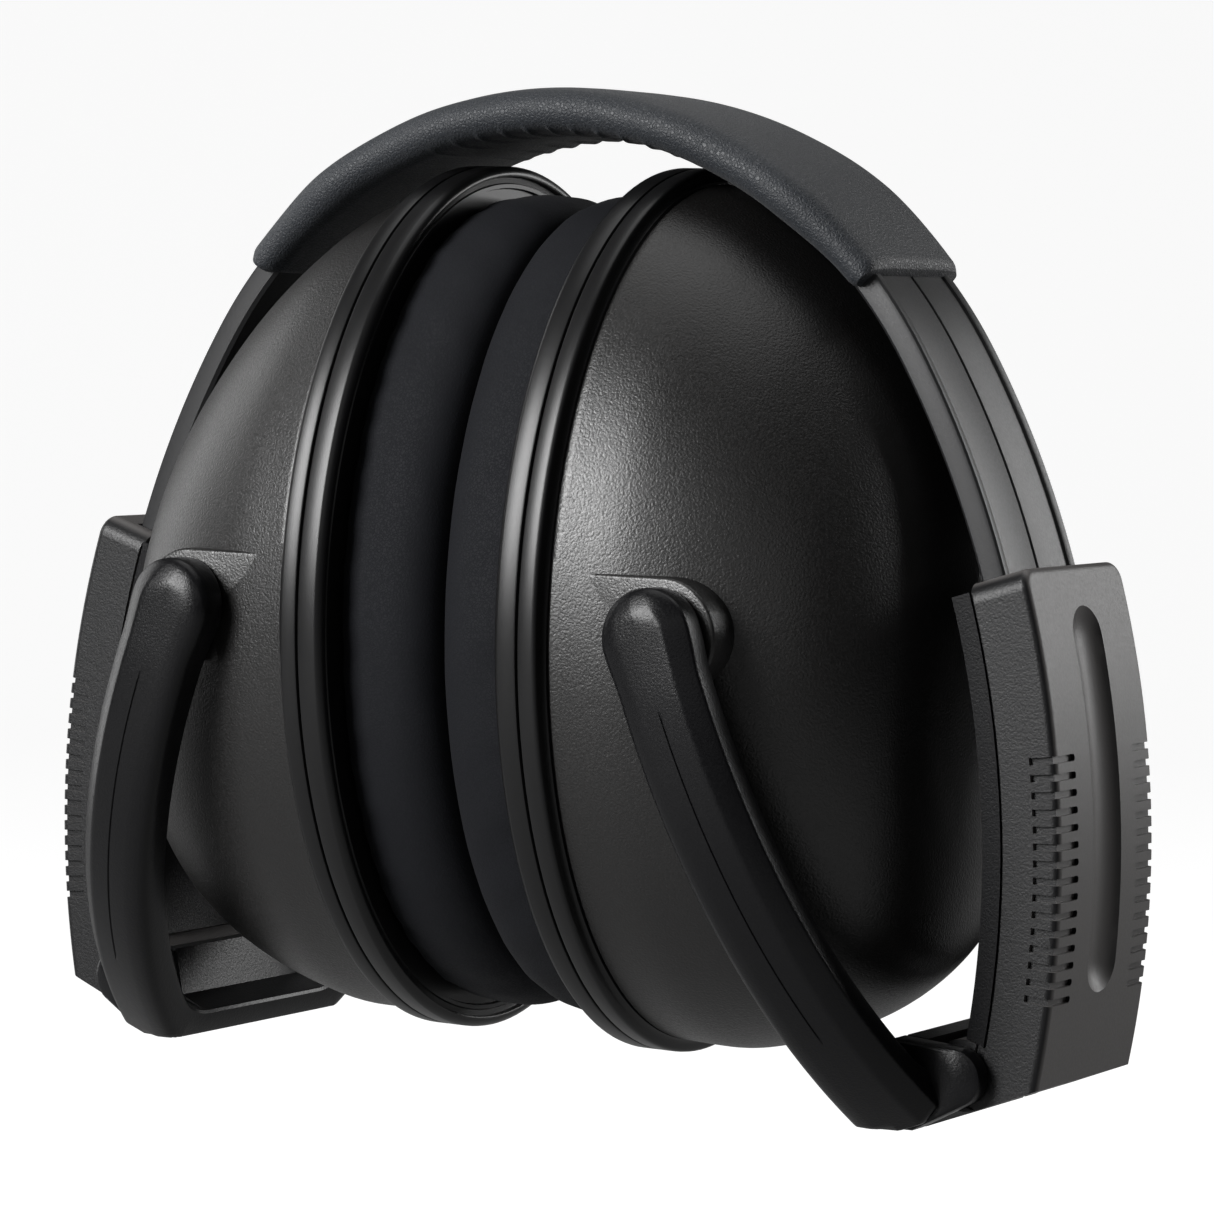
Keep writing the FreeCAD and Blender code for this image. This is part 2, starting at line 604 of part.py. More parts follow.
pieces = build()
doc.recompute()
for obj in doc.Objects:
    if {"Invalid", "Error"} & set(obj.State):
        raise RuntimeError(f"{obj.Name} did not build: {obj.State}")
os.makedirs("parts", exist_ok=True)
for piece in pieces:
    shape = piece.Shape
    if shape.isNull() or not shape.isValid() or len(shape.Solids) != 1:
        raise RuntimeError(f"{piece.Label} is not one valid solid: {len(shape.Solids)} solids")
    shape.exportStep(f"parts/{piece.Label}.step")
    box = shape.BoundBox
    print(f"{piece.Label}: {shape.Volume / 1000:.2f} cm3, x {box.XMin:.1f}..{box.XMax:.1f}, "
          f"y {box.YMin:.1f}..{box.YMax:.1f}, z {box.ZMin:.1f}..{box.ZMax:.1f}")
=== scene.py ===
"""Looks of a folding earmuff hearing protector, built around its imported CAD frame.

Lengths are in metres, in the frame's own axes: +X towards the right cup, +Y fore and aft, +Z up.
Each sub-assembly is a class. Its methods build the right-hand pieces, and the left-hand ones are
their mirror images.
"""
import logging
import math
from dataclasses import dataclass, field
from enum import Enum
from functools import cache

import bpy
import numpy as np
from mathutils import Matrix, Vector


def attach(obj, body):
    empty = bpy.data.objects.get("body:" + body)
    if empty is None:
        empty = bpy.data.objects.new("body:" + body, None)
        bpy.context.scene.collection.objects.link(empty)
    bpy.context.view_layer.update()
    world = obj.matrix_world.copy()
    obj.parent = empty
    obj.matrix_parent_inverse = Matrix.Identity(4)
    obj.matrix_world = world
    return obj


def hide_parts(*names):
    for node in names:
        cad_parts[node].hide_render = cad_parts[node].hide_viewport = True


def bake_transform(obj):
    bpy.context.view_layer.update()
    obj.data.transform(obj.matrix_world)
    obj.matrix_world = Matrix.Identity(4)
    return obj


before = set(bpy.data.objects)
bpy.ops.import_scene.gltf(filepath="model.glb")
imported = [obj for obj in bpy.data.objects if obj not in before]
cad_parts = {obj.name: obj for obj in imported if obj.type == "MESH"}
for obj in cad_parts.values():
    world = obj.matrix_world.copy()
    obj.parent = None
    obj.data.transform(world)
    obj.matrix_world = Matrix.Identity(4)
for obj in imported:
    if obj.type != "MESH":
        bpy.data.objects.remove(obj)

LOG = logging.getLogger("earmuff")
MM = 0.001
ROUND = 180
SOFT_ANGLE = 80.0
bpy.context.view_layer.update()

Ring = np.ndarray
Mesh = tuple[np.ndarray, list[tuple[int, ...]]]
Colour = tuple[float, float, float]
Inputs = dict[str | int, bpy.types.NodeSocket | float | tuple[float, ...]]


class Side(Enum):
    """Which half of the object a piece belongs to, and the sign of its X."""

    RIGHT = 1
    LEFT = -1

    @property
    def label(self) -> str:
        """The word that ends the names of this side's pieces."""
        return self.name.lower()


# ---------------------------------------------------------------- meshes

def loft(rings: list[Ring], closed: bool = True, caps: tuple[bool, bool] = (False, False)) -> Mesh:
    """Joins a row of outlines, each with the same number of points, by quads.

    Args:
        rings: the outlines, in order, as arrays of points.
        closed: whether each outline is a loop.
        caps: whether to close the first and the last outline with a fan.

    Returns:
        The vertices and the faces.
    """
    count = len(rings[0])
    points = np.concatenate(rings)
    faces: list[tuple[int, ...]] = []
    steps = count if closed else count - 1
    for row in range(len(rings) - 1):
        for column in range(steps):
            following = (column + 1) % count
            faces.append((row * count + column, row * count + following,
                          (row + 1) * count + following, (row + 1) * count + column))
    extra = []
    last = (len(rings) - 1) * count
    for wanted, first, turned in ((caps[0], 0, True), (caps[1], last, False)):
        if not wanted:
            continue
        middle = len(points) + len(extra)
        extra.append(points[first:first + count].mean(axis=0))
        for column in range(count):
            pair = (first + column, first + (column + 1) % count)
            faces.append((middle, *(pair[::-1] if turned else pair)))
    if extra:
        points = np.concatenate([points, np.array(extra)])
    return points, faces


def piece(name: str, points: np.ndarray, faces: list[tuple[int, ...]], side: Side = Side.RIGHT,
          smooth_angle: float = 35.0) -> bpy.types.Object:
    """Makes a mesh object with outward faces and smooth shading below an angle.

    Args:
        name: the object's name.
        points: vertices of the right-hand piece, in metres.
        faces: its faces.
        side: the side to build; the left is mirrored.
        smooth_angle: edges sharper than this many degrees stay crisp.

    Returns:
        The new object, linked to the scene.
    """
    points = np.array(points, float)
    points[:, 0] *= side.value
    mesh = bpy.data.meshes.new(name)
    mesh.from_pydata(points.tolist(), [], faces)
    mesh.update()
    obj = bpy.data.objects.new(name, mesh)
    bpy.context.scene.collection.objects.link(obj)
    bpy.context.view_layer.objects.active = obj
    for other in bpy.context.selected_objects:
        other.select_set(False)
    obj.select_set(True)
    bpy.ops.object.mode_set(mode="EDIT")
    bpy.ops.mesh.select_all(action="SELECT")
    bpy.ops.mesh.normals_make_consistent(inside=False)
    bpy.ops.object.mode_set(mode="OBJECT")
    bpy.ops.object.shade_smooth_by_angle(angle=math.radians(smooth_angle))
    return obj


def oval(half_width: float, half_height: float, x: float, z: float,
         turns: np.ndarray | None = None) -> Ring:
    """An upright oval across X.

    Args:
        half_width: half its size fore and aft, in millimetres like the other sizes.
        half_height: half its height.
        x: where it stands.
        z: the height of its middle.
        turns: the angles of its points, or none for an even round.

    Returns:
        Its points in metres.
    """
    if turns is None:
        turns = np.linspace(0, 2 * math.pi, ROUND, endpoint=False)
    return np.stack([np.full(len(turns), x), half_width * np.cos(turns),
                     z + half_height * np.sin(turns)], axis=1) * MM


def smooth_step(low: float, high: float, value: float | np.ndarray) -> float | np.ndarray:
    """Rises smoothly from 0 at low to 1 at high; low may be the larger of the two."""
    part = np.clip((value - low) / (high - low), 0, 1)
    return part * part * (3 - 2 * part)


def smooth_path(knots: list[tuple[float, ...]], count: int) -> list[tuple[float, ...]]:
    """Evenly spaced points of a smooth path through knots of any number of values.

    Args:
        knots: the rows that the path passes through.
        count: how many points to return.

    Returns:
        The points, as tuples.
    """
    rows = np.array(knots, float)
    place = np.concatenate([[0], np.cumsum(np.linalg.norm(np.diff(rows, axis=0), axis=1))])
    slope = np.gradient(rows, place, axis=0)
    samples = np.linspace(0, place[-1], count)
    index = np.clip(np.searchsorted(place, samples) - 1, 0, len(place) - 2)
    span = (place[index + 1] - place[index])[:, None]
    part = (samples - place[index])[:, None] / span
    square, cube = part ** 2, part ** 3
    path = ((2 * cube - 3 * square + 1) * rows[index]
            + (cube - 2 * square + part) * span * slope[index]
            + (3 * square - 2 * cube) * rows[index + 1]
            + (cube - square) * span * slope[index + 1])
    return [tuple(row) for row in path]


def join_parts(first: Mesh, second: Mesh) -> Mesh:
    """Puts two sets of points and faces into one.

    Args:
        first: the set that comes first.
        second: the set that is added to it.

    Returns:
        Both as one.
    """
    start = len(first[0])
    faces = first[1] + [tuple(corner + start for corner in face) for face in second[1]]
    return np.concatenate([first[0], second[0]]), faces


# ---------------------------------------------------------------- finishes

class Kind(Enum):
    """What a socket of a shader node group carries."""

    VALUE = "NodeSocketFloat"
    COLOUR = "NodeSocketColor"


@dataclass(frozen=True)
class Graph:
    """A node tree under construction, with short ways to add, fill and link its nodes."""

    tree: bpy.types.NodeTree

    def fill(self, node: bpy.types.Node, inputs: Inputs) -> bpy.types.Node:
        """Sets a node's inputs.

        Args:
            node: the node.
            inputs: for each input's name or number, a socket to link it to or a plain value.

        Returns:
            The same node.
        """
        for name, value in inputs.items():
            if isinstance(value, bpy.types.NodeSocket):
                self.tree.links.new(value, node.inputs[name])
            else:
                node.inputs[name].default_value = value
        return node

    def add(self, kind: str, inputs: Inputs | None = None, **settings: str | bool
            ) -> bpy.types.Node:
        """Adds a shader node.

        Args:
            kind: the node's type, without the "ShaderNode" that it starts with.
            inputs: what its inputs get, as in fill.
            settings: its own properties, such as its operation.

        Returns:
            The new node.
        """
        node = self.tree.nodes.new(f"ShaderNode{kind}")
        for name, value in settings.items():
            setattr(node, name, value)
        return self.fill(node, inputs or {})

    def group(self, tree: bpy.types.NodeTree, inputs: Inputs) -> bpy.types.Node:
        """Places a shared node group.

        Args:
            tree: the group's own tree.
            inputs: what its inputs get, as in fill.

        Returns:
            The group's node.
        """
        node = self.tree.nodes.new("ShaderNodeGroup")
        node.node_tree = tree
        return self.fill(node, inputs)

    def mix(self, share: bpy.types.NodeSocket, first: bpy.types.NodeSocket,
            second: bpy.types.NodeSocket) -> bpy.types.NodeSocket:
        """Mixes two sockets of one kind.

        Args:
            share: how much of the second one shows.
            first: a colour or a value.
            second: another of the same kind.

        Returns:
            The mixed colour or value.
        """
        coloured = first.type == "RGBA"
        low, high, out = (6, 7, 2) if coloured else (2, 3, 0)
        node = self.add("Mix", data_type="RGBA" if coloured else "FLOAT")
        return self.fill(node, {0: share, low: first, high: second}).outputs[out]


class Groups:
    """Shader node groups that several finishes share, each built once."""

    @staticmethod
    def begin(name: str, takes: dict[str, Kind], gives: dict[str, Kind]
              ) -> tuple[Graph, bpy.types.Node, bpy.types.Node]:
        """Begins a group.

        Args:
            name: the group's name.
            takes: the kind of each named input.
            gives: the kind of each named output.

        Returns:
            The group's graph, and the nodes that hold its inputs and its outputs.
        """
        tree = bpy.data.node_groups.new(name, "ShaderNodeTree")
        for way, sockets in (("INPUT", takes), ("OUTPUT", gives)):
            for label, kind in sockets.items():
                tree.interface.new_socket(label, in_out=way, socket_type=kind.value)
        start, end = tree.nodes.new("NodeGroupInput"), tree.nodes.new("NodeGroupOutput")
        return Graph(tree), start, end

    @staticmethod
    @cache
    def grain() -> bpy.types.NodeTree:
        """Fine spark-eroded mould grain from two scales of noise.

        Returns:
            The group. It gives the grain's height and a mask of its fine specks.
        """
        graph, start, end = Groups.begin(
            "mould_grain", {"Fine Scale": Kind.VALUE, "Coarse Scale": Kind.VALUE},
            {"Height": Kind.VALUE, "Speckle": Kind.VALUE})
        place = graph.add("TexCoord").outputs["Object"]
        fine, coarse = (
            graph.add("TexNoise", {"Vector": place, "Scale": start.outputs[name],
                                   "Detail": detail}).outputs["Fac"]
            for name, detail in (("Fine Scale", 2.0), ("Coarse Scale", 3.0)))
        coarse_share = 0.6
        both = graph.add("Math", {0: coarse, 1: coarse_share, 2: fine}, operation="MULTIPLY_ADD")
        speckle = graph.add("MapRange", {"Value": fine, "From Min": 0.35, "From Max": 0.68})
        graph.fill(end, {"Height": both.outputs[0], "Speckle": speckle.outputs["Result"]})
        return graph.tree

    @staticmethod
    @cache
    def leather() -> bpy.types.NodeTree:
        """Pebbled leather grain: rounded cells with creases between them, over soft wrinkles.

        Returns:
            The group. It gives the grain's height and a mask that is 0 in the creases, where the
            leathers paint shade.
        """
        graph, start, end = Groups.begin(
            "leather_grain",
            dict.fromkeys(("Cell Scale", "Wrinkle Scale", "Wrinkle Depth"), Kind.VALUE),
            {"Height": Kind.VALUE, "Crease": Kind.VALUE})
        place = graph.add("TexCoord").outputs["Object"]
        cell_scale = start.outputs["Cell Scale"]
        warp_reach = (0.0006, 0.0006, 0.0006)
        crease_width = 0.25
        warp = graph.add("TexNoise", {"Vector": place, "Scale": cell_scale})
        warped = graph.add("VectorMath", {0: warp.outputs["Color"], 1: warp_reach, 2: place},
                           operation="MULTIPLY_ADD")
        cells = graph.add("TexVoronoi", feature="DISTANCE_TO_EDGE")
        graph.fill(cells, {"Vector": warped.outputs["Vector"], "Scale": cell_scale})
        wrinkles = graph.add("TexNoise", {"Vector": place, "Detail": 4.0,
                                          "Scale": start.outputs["Wrinkle Scale"]})
        crease = graph.add("MapRange", {"Value": cells.outputs["Distance"],
                                        "From Max": crease_width},
                           interpolation_type="SMOOTHSTEP").outputs["Result"]
        deep = graph.add("Math", {0: wrinkles.outputs["Fac"], 1: start.outputs["Wrinkle Depth"]},
                         operation="MULTIPLY")
        both = graph.add("Math", {0: crease, 1: deep.outputs[0]}, operation="ADD")
        graph.fill(end, {"Height": both.outputs[0], "Crease": crease})
        return graph.tree

    @staticmethod
    @cache
    def side_mask() -> bpy.types.NodeTree:
        """A mask that is 1 on faces turned fore and aft, and 0 on faces turned outwards. The
        slider uses it to paint light on its outward faces.

        Returns:
            The group. Its inputs are where the mask starts and ends along the normal's Y.
        """
        graph, start, end = Groups.begin("side_mask", {"Low": Kind.VALUE, "High": Kind.VALUE},
                                         {"Side": Kind.VALUE})
        place = graph.add("TexCoord")
        split = graph.add("SeparateXYZ", {0: place.outputs["Normal"]})
        size = graph.add("Math", {0: split.outputs["Y"]}, operation="ABSOLUTE")
        ramp = graph.add("MapRange", interpolation_type="SMOOTHSTEP")
        graph.fill(ramp, {"Value": size.outputs[0], "From Min": start.outputs["Low"],
                          "From Max": start.outputs["High"]})
        graph.fill(end, {"Side": ramp.outputs["Result"]})
        return graph.tree

    @staticmethod
    @cache
    def tint() -> bpy.types.NodeTree:
        """Slow drift between two close colours, pulled towards the second by a mask. The leathers
        give their painted crease shade as the first colour.

        Returns:
            The group. It gives the drifting colour.
        """
        graph, start, end = Groups.begin(
            "colour_drift",
            {"Colour": Kind.COLOUR, "Drift Colour": Kind.COLOUR, "Mask": Kind.VALUE},
            {"Colour": Kind.COLOUR})
        place, drift_scale = graph.add("TexCoord"), 60.0
        slow = graph.add("TexNoise", {"Vector": place.outputs["Object"], "Scale": drift_scale})
        share = graph.add("Math", {0: slow.outputs["Fac"], 1: start.outputs["Mask"]},
                          operation="MULTIPLY")
        mixed = graph.mix(share.outputs[0], start.outputs["Colour"],
                          start.outputs["Drift Colour"])
        graph.fill(end, {"Colour": mixed})
        return graph.tree


def blank(name: str) -> tuple[bpy.types.Material, Graph, bpy.types.Node]:
    """Makes a material that holds only its shader.

    Args:
        name: the material's name.

    Returns:
        The material, its graph and its shader.
    """
    material = bpy.data.materials.new(name)
    material.use_nodes = True
    tree = material.node_tree
    return material, Graph(tree), tree.nodes["Principled BSDF"]


@dataclass(frozen=True)
class Plastic:
    """A moulded plastic: its colour, gloss and mould grain, with the grain's depth in mm."""

    name: str
    colour: Colour
    drift: Colour
    roughness: float
    specular: float
    depth: float
    fine: float = 3200.0
    coarse: float = 900.0
    rough_swing: float = 0.08

    def layer(self, graph: Graph
              ) -> tuple[bpy.types.NodeSocket, bpy.types.NodeSocket, bpy.types.NodeSocket]:
        """Adds the plastic's colour drift and grain to a material.

        Args:
            graph: the material's graph.

        Returns:
            Its colour, its roughness and its grain's height.
        """
        grain = graph.group(Groups.grain(), {"Fine Scale": self.fine,
                                             "Coarse Scale": self.coarse})
        speckle = grain.outputs["Speckle"]
        tint = graph.group(Groups.tint(), {"Colour": (*self.colour, 1),
                                           "Drift Colour": (*self.drift, 1), "Mask": speckle})
        rough = graph.add("MapRange", {"Value": speckle,
                                       "To Min": self.roughness - self.rough_swing / 2,
                                       "To Max": self.roughness + self.rough_swing / 2})
        return tint.outputs["Colour"], rough.outputs["Result"], grain.outputs["Height"]

    @cache
    def material(self) -> bpy.types.Material:
        """Builds the node material the first time it is asked for.

        Returns:
            The material.
        """
        material, graph, shader = blank(self.name)
        colour, rough, height = self.layer(graph)
        bump = graph.add("Bump", {"Height": height, "Strength": 1.0,
                                  "Distance": self.depth * MM})
        graph.fill(shader, {"Specular IOR Level": self.specular, "Base Color": colour,
                            "Roughness": rough, "Normal": bump.outputs["Normal"]})
        return material


@dataclass(frozen=True)
class PaintedLitFace:
    """A moulded plastic that is smooth on its outward faces and grained on its sides. The outward
    faces' far lighter colour is painted light.

    The face's specular level serves for both, as it is a plain number on the one shader.
    """

    name: str
    face: Plastic
    flank: Plastic
    mask_low: float = 0.35
    mask_high: float = 0.75

    @cache
    def material(self) -> bpy.types.Material:
        """Builds the node material the first time it is asked for.

        Returns:
            The material.
        """
        material, graph, shader = blank(self.name)
        # painted light: faces turned outwards get the face plastic's far lighter colour, faces
        # turned fore and aft the dark flank colour
        mask = graph.group(Groups.side_mask(), {"Low": self.mask_low, "High": self.mask_high})
        layers = []
        for look in (self.face, self.flank):
            colour, rough, height = look.layer(graph)
            scaled = graph.add("Math", {0: height, 1: look.depth}, operation="MULTIPLY")
            layers.append((colour, rough, scaled.outputs[0]))
        colour, rough, height = (graph.mix(mask.outputs["Side"], *pair) for pair in zip(*layers))
        bump = graph.add("Bump", {"Height": height, "Strength": 1.0, "Distance": MM})
        graph.fill(shader, {"Specular IOR Level": self.face.specular, "Base Color": colour,
                            "Roughness": rough, "Normal": bump.outputs["Normal"]})
        return material


@dataclass(frozen=True)
class Leather:
    """Soft synthetic leather or foam: colour, painted crease shade, gloss, pebble size and
    wrinkles, depth in mm.
    """

    name: str
    colour: Colour
    # crease: a darker colour painted into the pebble creases as shade, also mixed at random into
    # the pebbles' tone
    crease: Colour
    roughness: float
    cells: float
    depth: float
    wrinkle_scale: float
    wrinkle_depth: float
    sheen: float = 0.05
    specular: float = 0.5
    sheen_roughness: float = 0.6
    crease_gain: float = 2.0
    crease_dullness: float = 0.12

    @cache
    def material(self) -> bpy.types.Material:
        """Builds the node material the first time it is asked for.

        Returns:
            The material.
        """
        material, graph, shader = blank(self.name)
        grain = graph.group(Groups.leather(), {
            "Cell Scale": self.cells, "Wrinkle Scale": self.wrinkle_scale,
            "Wrinkle Depth": self.wrinkle_depth})
        crease = grain.outputs["Crease"]
        # painted shade: this mask is 0 in the creases, where the darker crease colour shows
        crease_shade_mask = graph.add("Math", {0: crease, 1: self.crease_gain}, operation="MULTIPLY",
                           use_clamp=True)
        tint = graph.group(Groups.tint(), {
            "Colour": (*self.crease, 1), "Drift Colour": (*self.colour, 1),
            "Mask": crease_shade_mask.outputs[0]})
        rough = graph.add("MapRange", {
            "Value": crease, "To Min": min(1.0, self.roughness + self.crease_dullness),
            "To Max": self.roughness})
        bump = graph.add("Bump", {"Height": grain.outputs["Height"], "Strength": 1.0,
                                  "Distance": self.depth * MM})
        graph.fill(shader, {
            "Sheen Weight": self.sheen, "Sheen Roughness": self.sheen_roughness,
            "Specular IOR Level": self.specular, "Base Color": tint.outputs["Colour"],
            "Roughness": rough.outputs["Result"], "Normal": bump.outputs["Normal"]})
        return material


@dataclass(frozen=True)
class StudioPaper:
    """Pale matt studio paper that stays pale in the background but hardly shows in reflections."""

    name: str = "studio_paper"
    colour: Colour = (0.24, 0.24, 0.24)
    glow: float = 0.90
    glow_around: float = 0.06
    specular: float = 0.1
    fibre_scale: float = 40.0
    roughness: tuple[float, float] = (0.85, 0.95)

    @cache
    def material(self) -> bpy.types.Material:
        """Builds the node material the first time it is asked for.

        Returns:
            The material.
        """
        material, graph, shader = blank(self.name)
        fibre = graph.add("TexNoise", {"Scale": self.fibre_scale})
        rough = graph.add("MapRange", {"Value": fibre.outputs["Fac"], "To Min": self.roughness[0],
                                       "To Max": self.roughness[1]})
        ray = graph.add("LightPath")
        shine = graph.add("MapRange", {"Value": ray.outputs["Is Camera Ray"],
                                       "To Min": self.glow_around, "To Max": self.glow})
        graph.fill(shader, {
            "Base Color": (*self.colour, 1), "Specular IOR Level": self.specular,
            "Emission Strength": 1.0, "Roughness": rough.outputs["Result"],
            "Emission Color": shine.outputs["Result"]})
        return material


@dataclass(frozen=True)
class Steel:
    """Plain turned steel of the pins and springs."""

    name: str = "turned_steel"
    colour: Colour = (0.42, 0.42, 0.43)
    line_scale: float = 1500.0
    roughness: tuple[float, float] = (0.25, 0.45)

    @cache
    def material(self) -> bpy.types.Material:
        """Builds the node material the first time it is asked for.

        Returns:
            The material.
        """
        material, graph, shader = blank(self.name)
        place = graph.add("TexCoord")
        lines = graph.add("TexNoise", {"Vector": place.outputs["Object"],
                                       "Scale": self.line_scale})
        rough = graph.add("MapRange", {"Value": lines.outputs["Fac"], "To Min": self.roughness[0],
                                       "To Max": self.roughness[1]})
        graph.fill(shader, {"Metallic": 1.0, "Base Color": (*self.colour, 1),
                            "Roughness": rough.outputs["Result"]})
        return material


DOME = Plastic("dome_satin_plastic", (0.0032, 0.0030, 0.0029), (0.0052, 0.0048, 0.0047), 0.39,
               specular=0.48, depth=0.050, fine=3600.0, coarse=3000.0, rough_swing=0.12)
RIM = Plastic("rim_smooth_plastic", (0.0036, 0.0036, 0.0038), (0.0043, 0.0043, 0.0045), 0.33,
              specular=0.27, depth=0.0012, fine=5000.0, coarse=1200.0, rough_swing=0.03)
YOKE = Plastic("yoke_grained_plastic", (0.0022, 0.0022, 0.0026), (0.0036, 0.0036, 0.0041), 0.32,
               specular=0.20, depth=0.024, fine=4000.0, coarse=2400.0)
# The slider face's far lighter colour is painted light on its outward faces; its smooth satin
# against the grained sides is the plastic's own.
SLIDER_PAINTED_LIT_FACE = Plastic("slider_satin_painted_lit_plastic", (0.0580, 0.0545, 0.0533),
                      (0.0610, 0.0575, 0.0562), 0.46, specular=0.28, depth=0.008)
SLIDER_SIDE = Plastic("slider_grained_plastic", (0.0018, 0.0018, 0.0022),
                      (0.0036, 0.0036, 0.0042), 0.44, specular=0.12, depth=0.032, fine=4000.0,
                      coarse=2600.0)
SLIDER = PaintedLitFace("slider_painted_lit_face_plastic", SLIDER_PAINTED_LIT_FACE, SLIDER_SIDE)
BAND = Plastic("band_satin_plastic", (0.0120, 0.0120, 0.0126), (0.0135, 0.0135, 0.0140), 0.42,
               specular=0.24, depth=0.008)
# Each leather's second colour is painted shade for the creases between its pebbles.
PAD = Leather("pad_soft_leather", (0.0042, 0.0066, 0.0104), (0.0028, 0.0044, 0.0068), 0.50,
              cells=2100.0, depth=0.040, wrinkle_scale=320.0, wrinkle_depth=0.25, specular=0.36)
CUSHION = Leather("cushion_soft_leather", (0.0030, 0.0034, 0.0050), (0.0023, 0.0026, 0.0038),
                  0.74, cells=2600.0, depth=0.012, wrinkle_scale=160.0, wrinkle_depth=1.0,
                  sheen=0.005, specular=0.16)
FOAM = Leather("liner_open_foam", (0.030, 0.030, 0.032), (0.006, 0.006, 0.007), 0.9,
               cells=900.0, depth=0.25, wrinkle_scale=300.0, wrinkle_depth=0.8)
STEEL = Steel()

Finish = Plastic | PaintedLitFace | Leather | Steel | StudioPaper


def dress(obj: bpy.types.Object, finish: Finish) -> bpy.types.Object:
    """Gives every material slot of an object one finish.

    Args:
        obj: the object.
        finish: what it is made of.

    Returns:
        The same object.
    """
    if not obj.data.materials:
        obj.data.materials.append(None)
    for slot in range(len(obj.data.materials)):
        obj.material_slots[slot].link = "OBJECT"
        obj.material_slots[slot].material = finish.material()
    return obj


# ---------------------------------------------------------------- cups

@dataclass
class Cup:
    """One cup: domed shell, rim of two bands, foam liner and ear cushion. Sizes in millimetres."""

    side: Side
    centre_z: float = 55.5
    rim_half: tuple[float, float] = (39.5, 52.3)
    mouth_half: tuple[float, float] = (19.0, 30.0)
    pivot: tuple[float, float] = (32.4, 55.3)
    boss_radius: float = 6.6
    boss_face: float = 36.9
    boss_start: float = 17.5
    boss_root: float = 31.0
    tail_reach: float = 9.0
    tail_drop: float = 2.6
    dome_sections: list[tuple[float, ...]] = field(default_factory=lambda: [
        (18.35, 37.75, 105.9, 4.75), (20.5, 37.5, 105.2, 4.65), (26.0, 36.8, 102.9, 4.6),
        (31.0, 35.6, 99.6, 5.6), (36.0, 33.9, 95.4, 7.2), (41.0, 31.6, 90.0, 9.4),
        (45.5, 28.8, 84.0, 12.4), (49.2, 25.0, 77.2, 16.2), (51.8, 19.8, 69.6, 21.6),
        (52.9, 14.5, 62.6, 27.4), (53.3, 8.5, 54.5, 35.5), (53.4, 1.0, 46.0, 44.0)])
    cushion_profile: list[tuple[float, float, float]] = field(default_factory=lambda: [
        (12.3, 5.5, 4.8), (11.6, 4.9, 4.2), (10.3, 4.5, 3.8), (7.0, 4.2, 3.4), (4.0, 4.6, 3.6),
        (2.2, 5.5, 4.2), (1.0, 6.8, 5.1), (0.35, 8.5, 6.5), (0.15, 10.2, 8.4), (0.15, 13.5, 12.5),
        (0.2, 16.5, 17.5), (0.9, 19.0, 20.6), (2.4, 20.6, 22.0), (5.0, 21.4, 22.8),
        (9.0, 21.5, 22.9), (11.6, 21.3, 22.7)])
    tube_middle: float = 15.0

    @property
    def body(self) -> str:
        """The CAD body that the cup's pieces ride on."""
        return f"cup_{self.side.label}"

    def rim_ring(self, x: float, inset: float, inset_tall: float | None = None,
                 turns: np.ndarray | None = None) -> Ring:
        """An oval that lies inside the rim's outline.

        Args:
            x: where it stands, in millimetres.
            inset: how far it lies inside the outline, fore and aft.
            inset_tall: the same at the top and bottom, or none for the same inset.
            turns: the angles of its points, or none for an even round.

        Returns:
            Its points in metres.
        """
        wide, tall = self.rim_half
        return oval(wide - inset, tall - (inset if inset_tall is None else inset_tall), x,
                    self.centre_z, turns)

    def dome_turns(self) -> np.ndarray:
        """Angles round the dome, closer together where the two pivot bosses stand.

        Returns:
            The angles, once round.
        """
        fine = np.arange(-0.12, 0.22, 0.005)
        rest = np.linspace(0.22, math.pi - 0.22, 90, endpoint=False)
        under = np.linspace(math.pi + 0.12, 2 * math.pi - 0.12, 90, endpoint=False)
        return np.concatenate([fine, rest, math.pi - fine[::-1], under])

    def boss(self, front: int) -> Mesh:
        """One pivot boss: a round end whose straight top edge runs on and sinks into the dome.

        Args:
            front: -1 for the boss in front and 1 for the one at the rear.

        Returns:
            Its points and faces.
        """
        arc = np.linspace(-math.pi / 2, math.pi / 2, 49)
        rings = []
        face = self.boss_face
        for level, shrink in ((self.boss_root, 0.0), (face - 0.45, 0.0), (face - 0.2, 0.06),
                              (face - 0.05, 0.2), (face, 0.42)):
            radius = self.boss_radius - shrink
            x = self.pivot[0] + radius * np.cos(arc)
            z = self.pivot[1] + radius * np.sin(arc)
            x = np.concatenate([[self.boss_start], x, [self.boss_start]])
            z = np.concatenate([[self.pivot[1] - radius], z, [self.pivot[1] + radius]])
            behind = smooth_step(0.0, self.tail_reach, self.pivot[0] - x)
            sunk = self.tail_drop * behind * (z < self.pivot[1])
            rings.append(np.stack([x, front * (level - sunk), z], axis=1) * MM)
        return loft(rings, caps=(False, True))

    def shell(self) -> bpy.types.Object:
        """The dome with its two pivot bosses.

        Returns:
            The dressed piece.
        """
        turns = self.dome_turns()
        rings = [self.rim_ring(x, inset, turns=turns) for x, inset in ((17.7, 2.6), (18.0, 1.95))]
        places = smooth_path(self.dome_sections, 120)
        for x, half, top, bottom in places:
            rings.append(oval(half, (top - bottom) / 2, x, (top + bottom) / 2, turns))
        points, faces = loft(rings, caps=(False, True))
        for front in (-1, 1):
            points, faces = join_parts((points, faces), self.boss(front))
        return dress(piece(f"cup_shell_skin_{self.side.label}", points, faces, self.side), DOME)

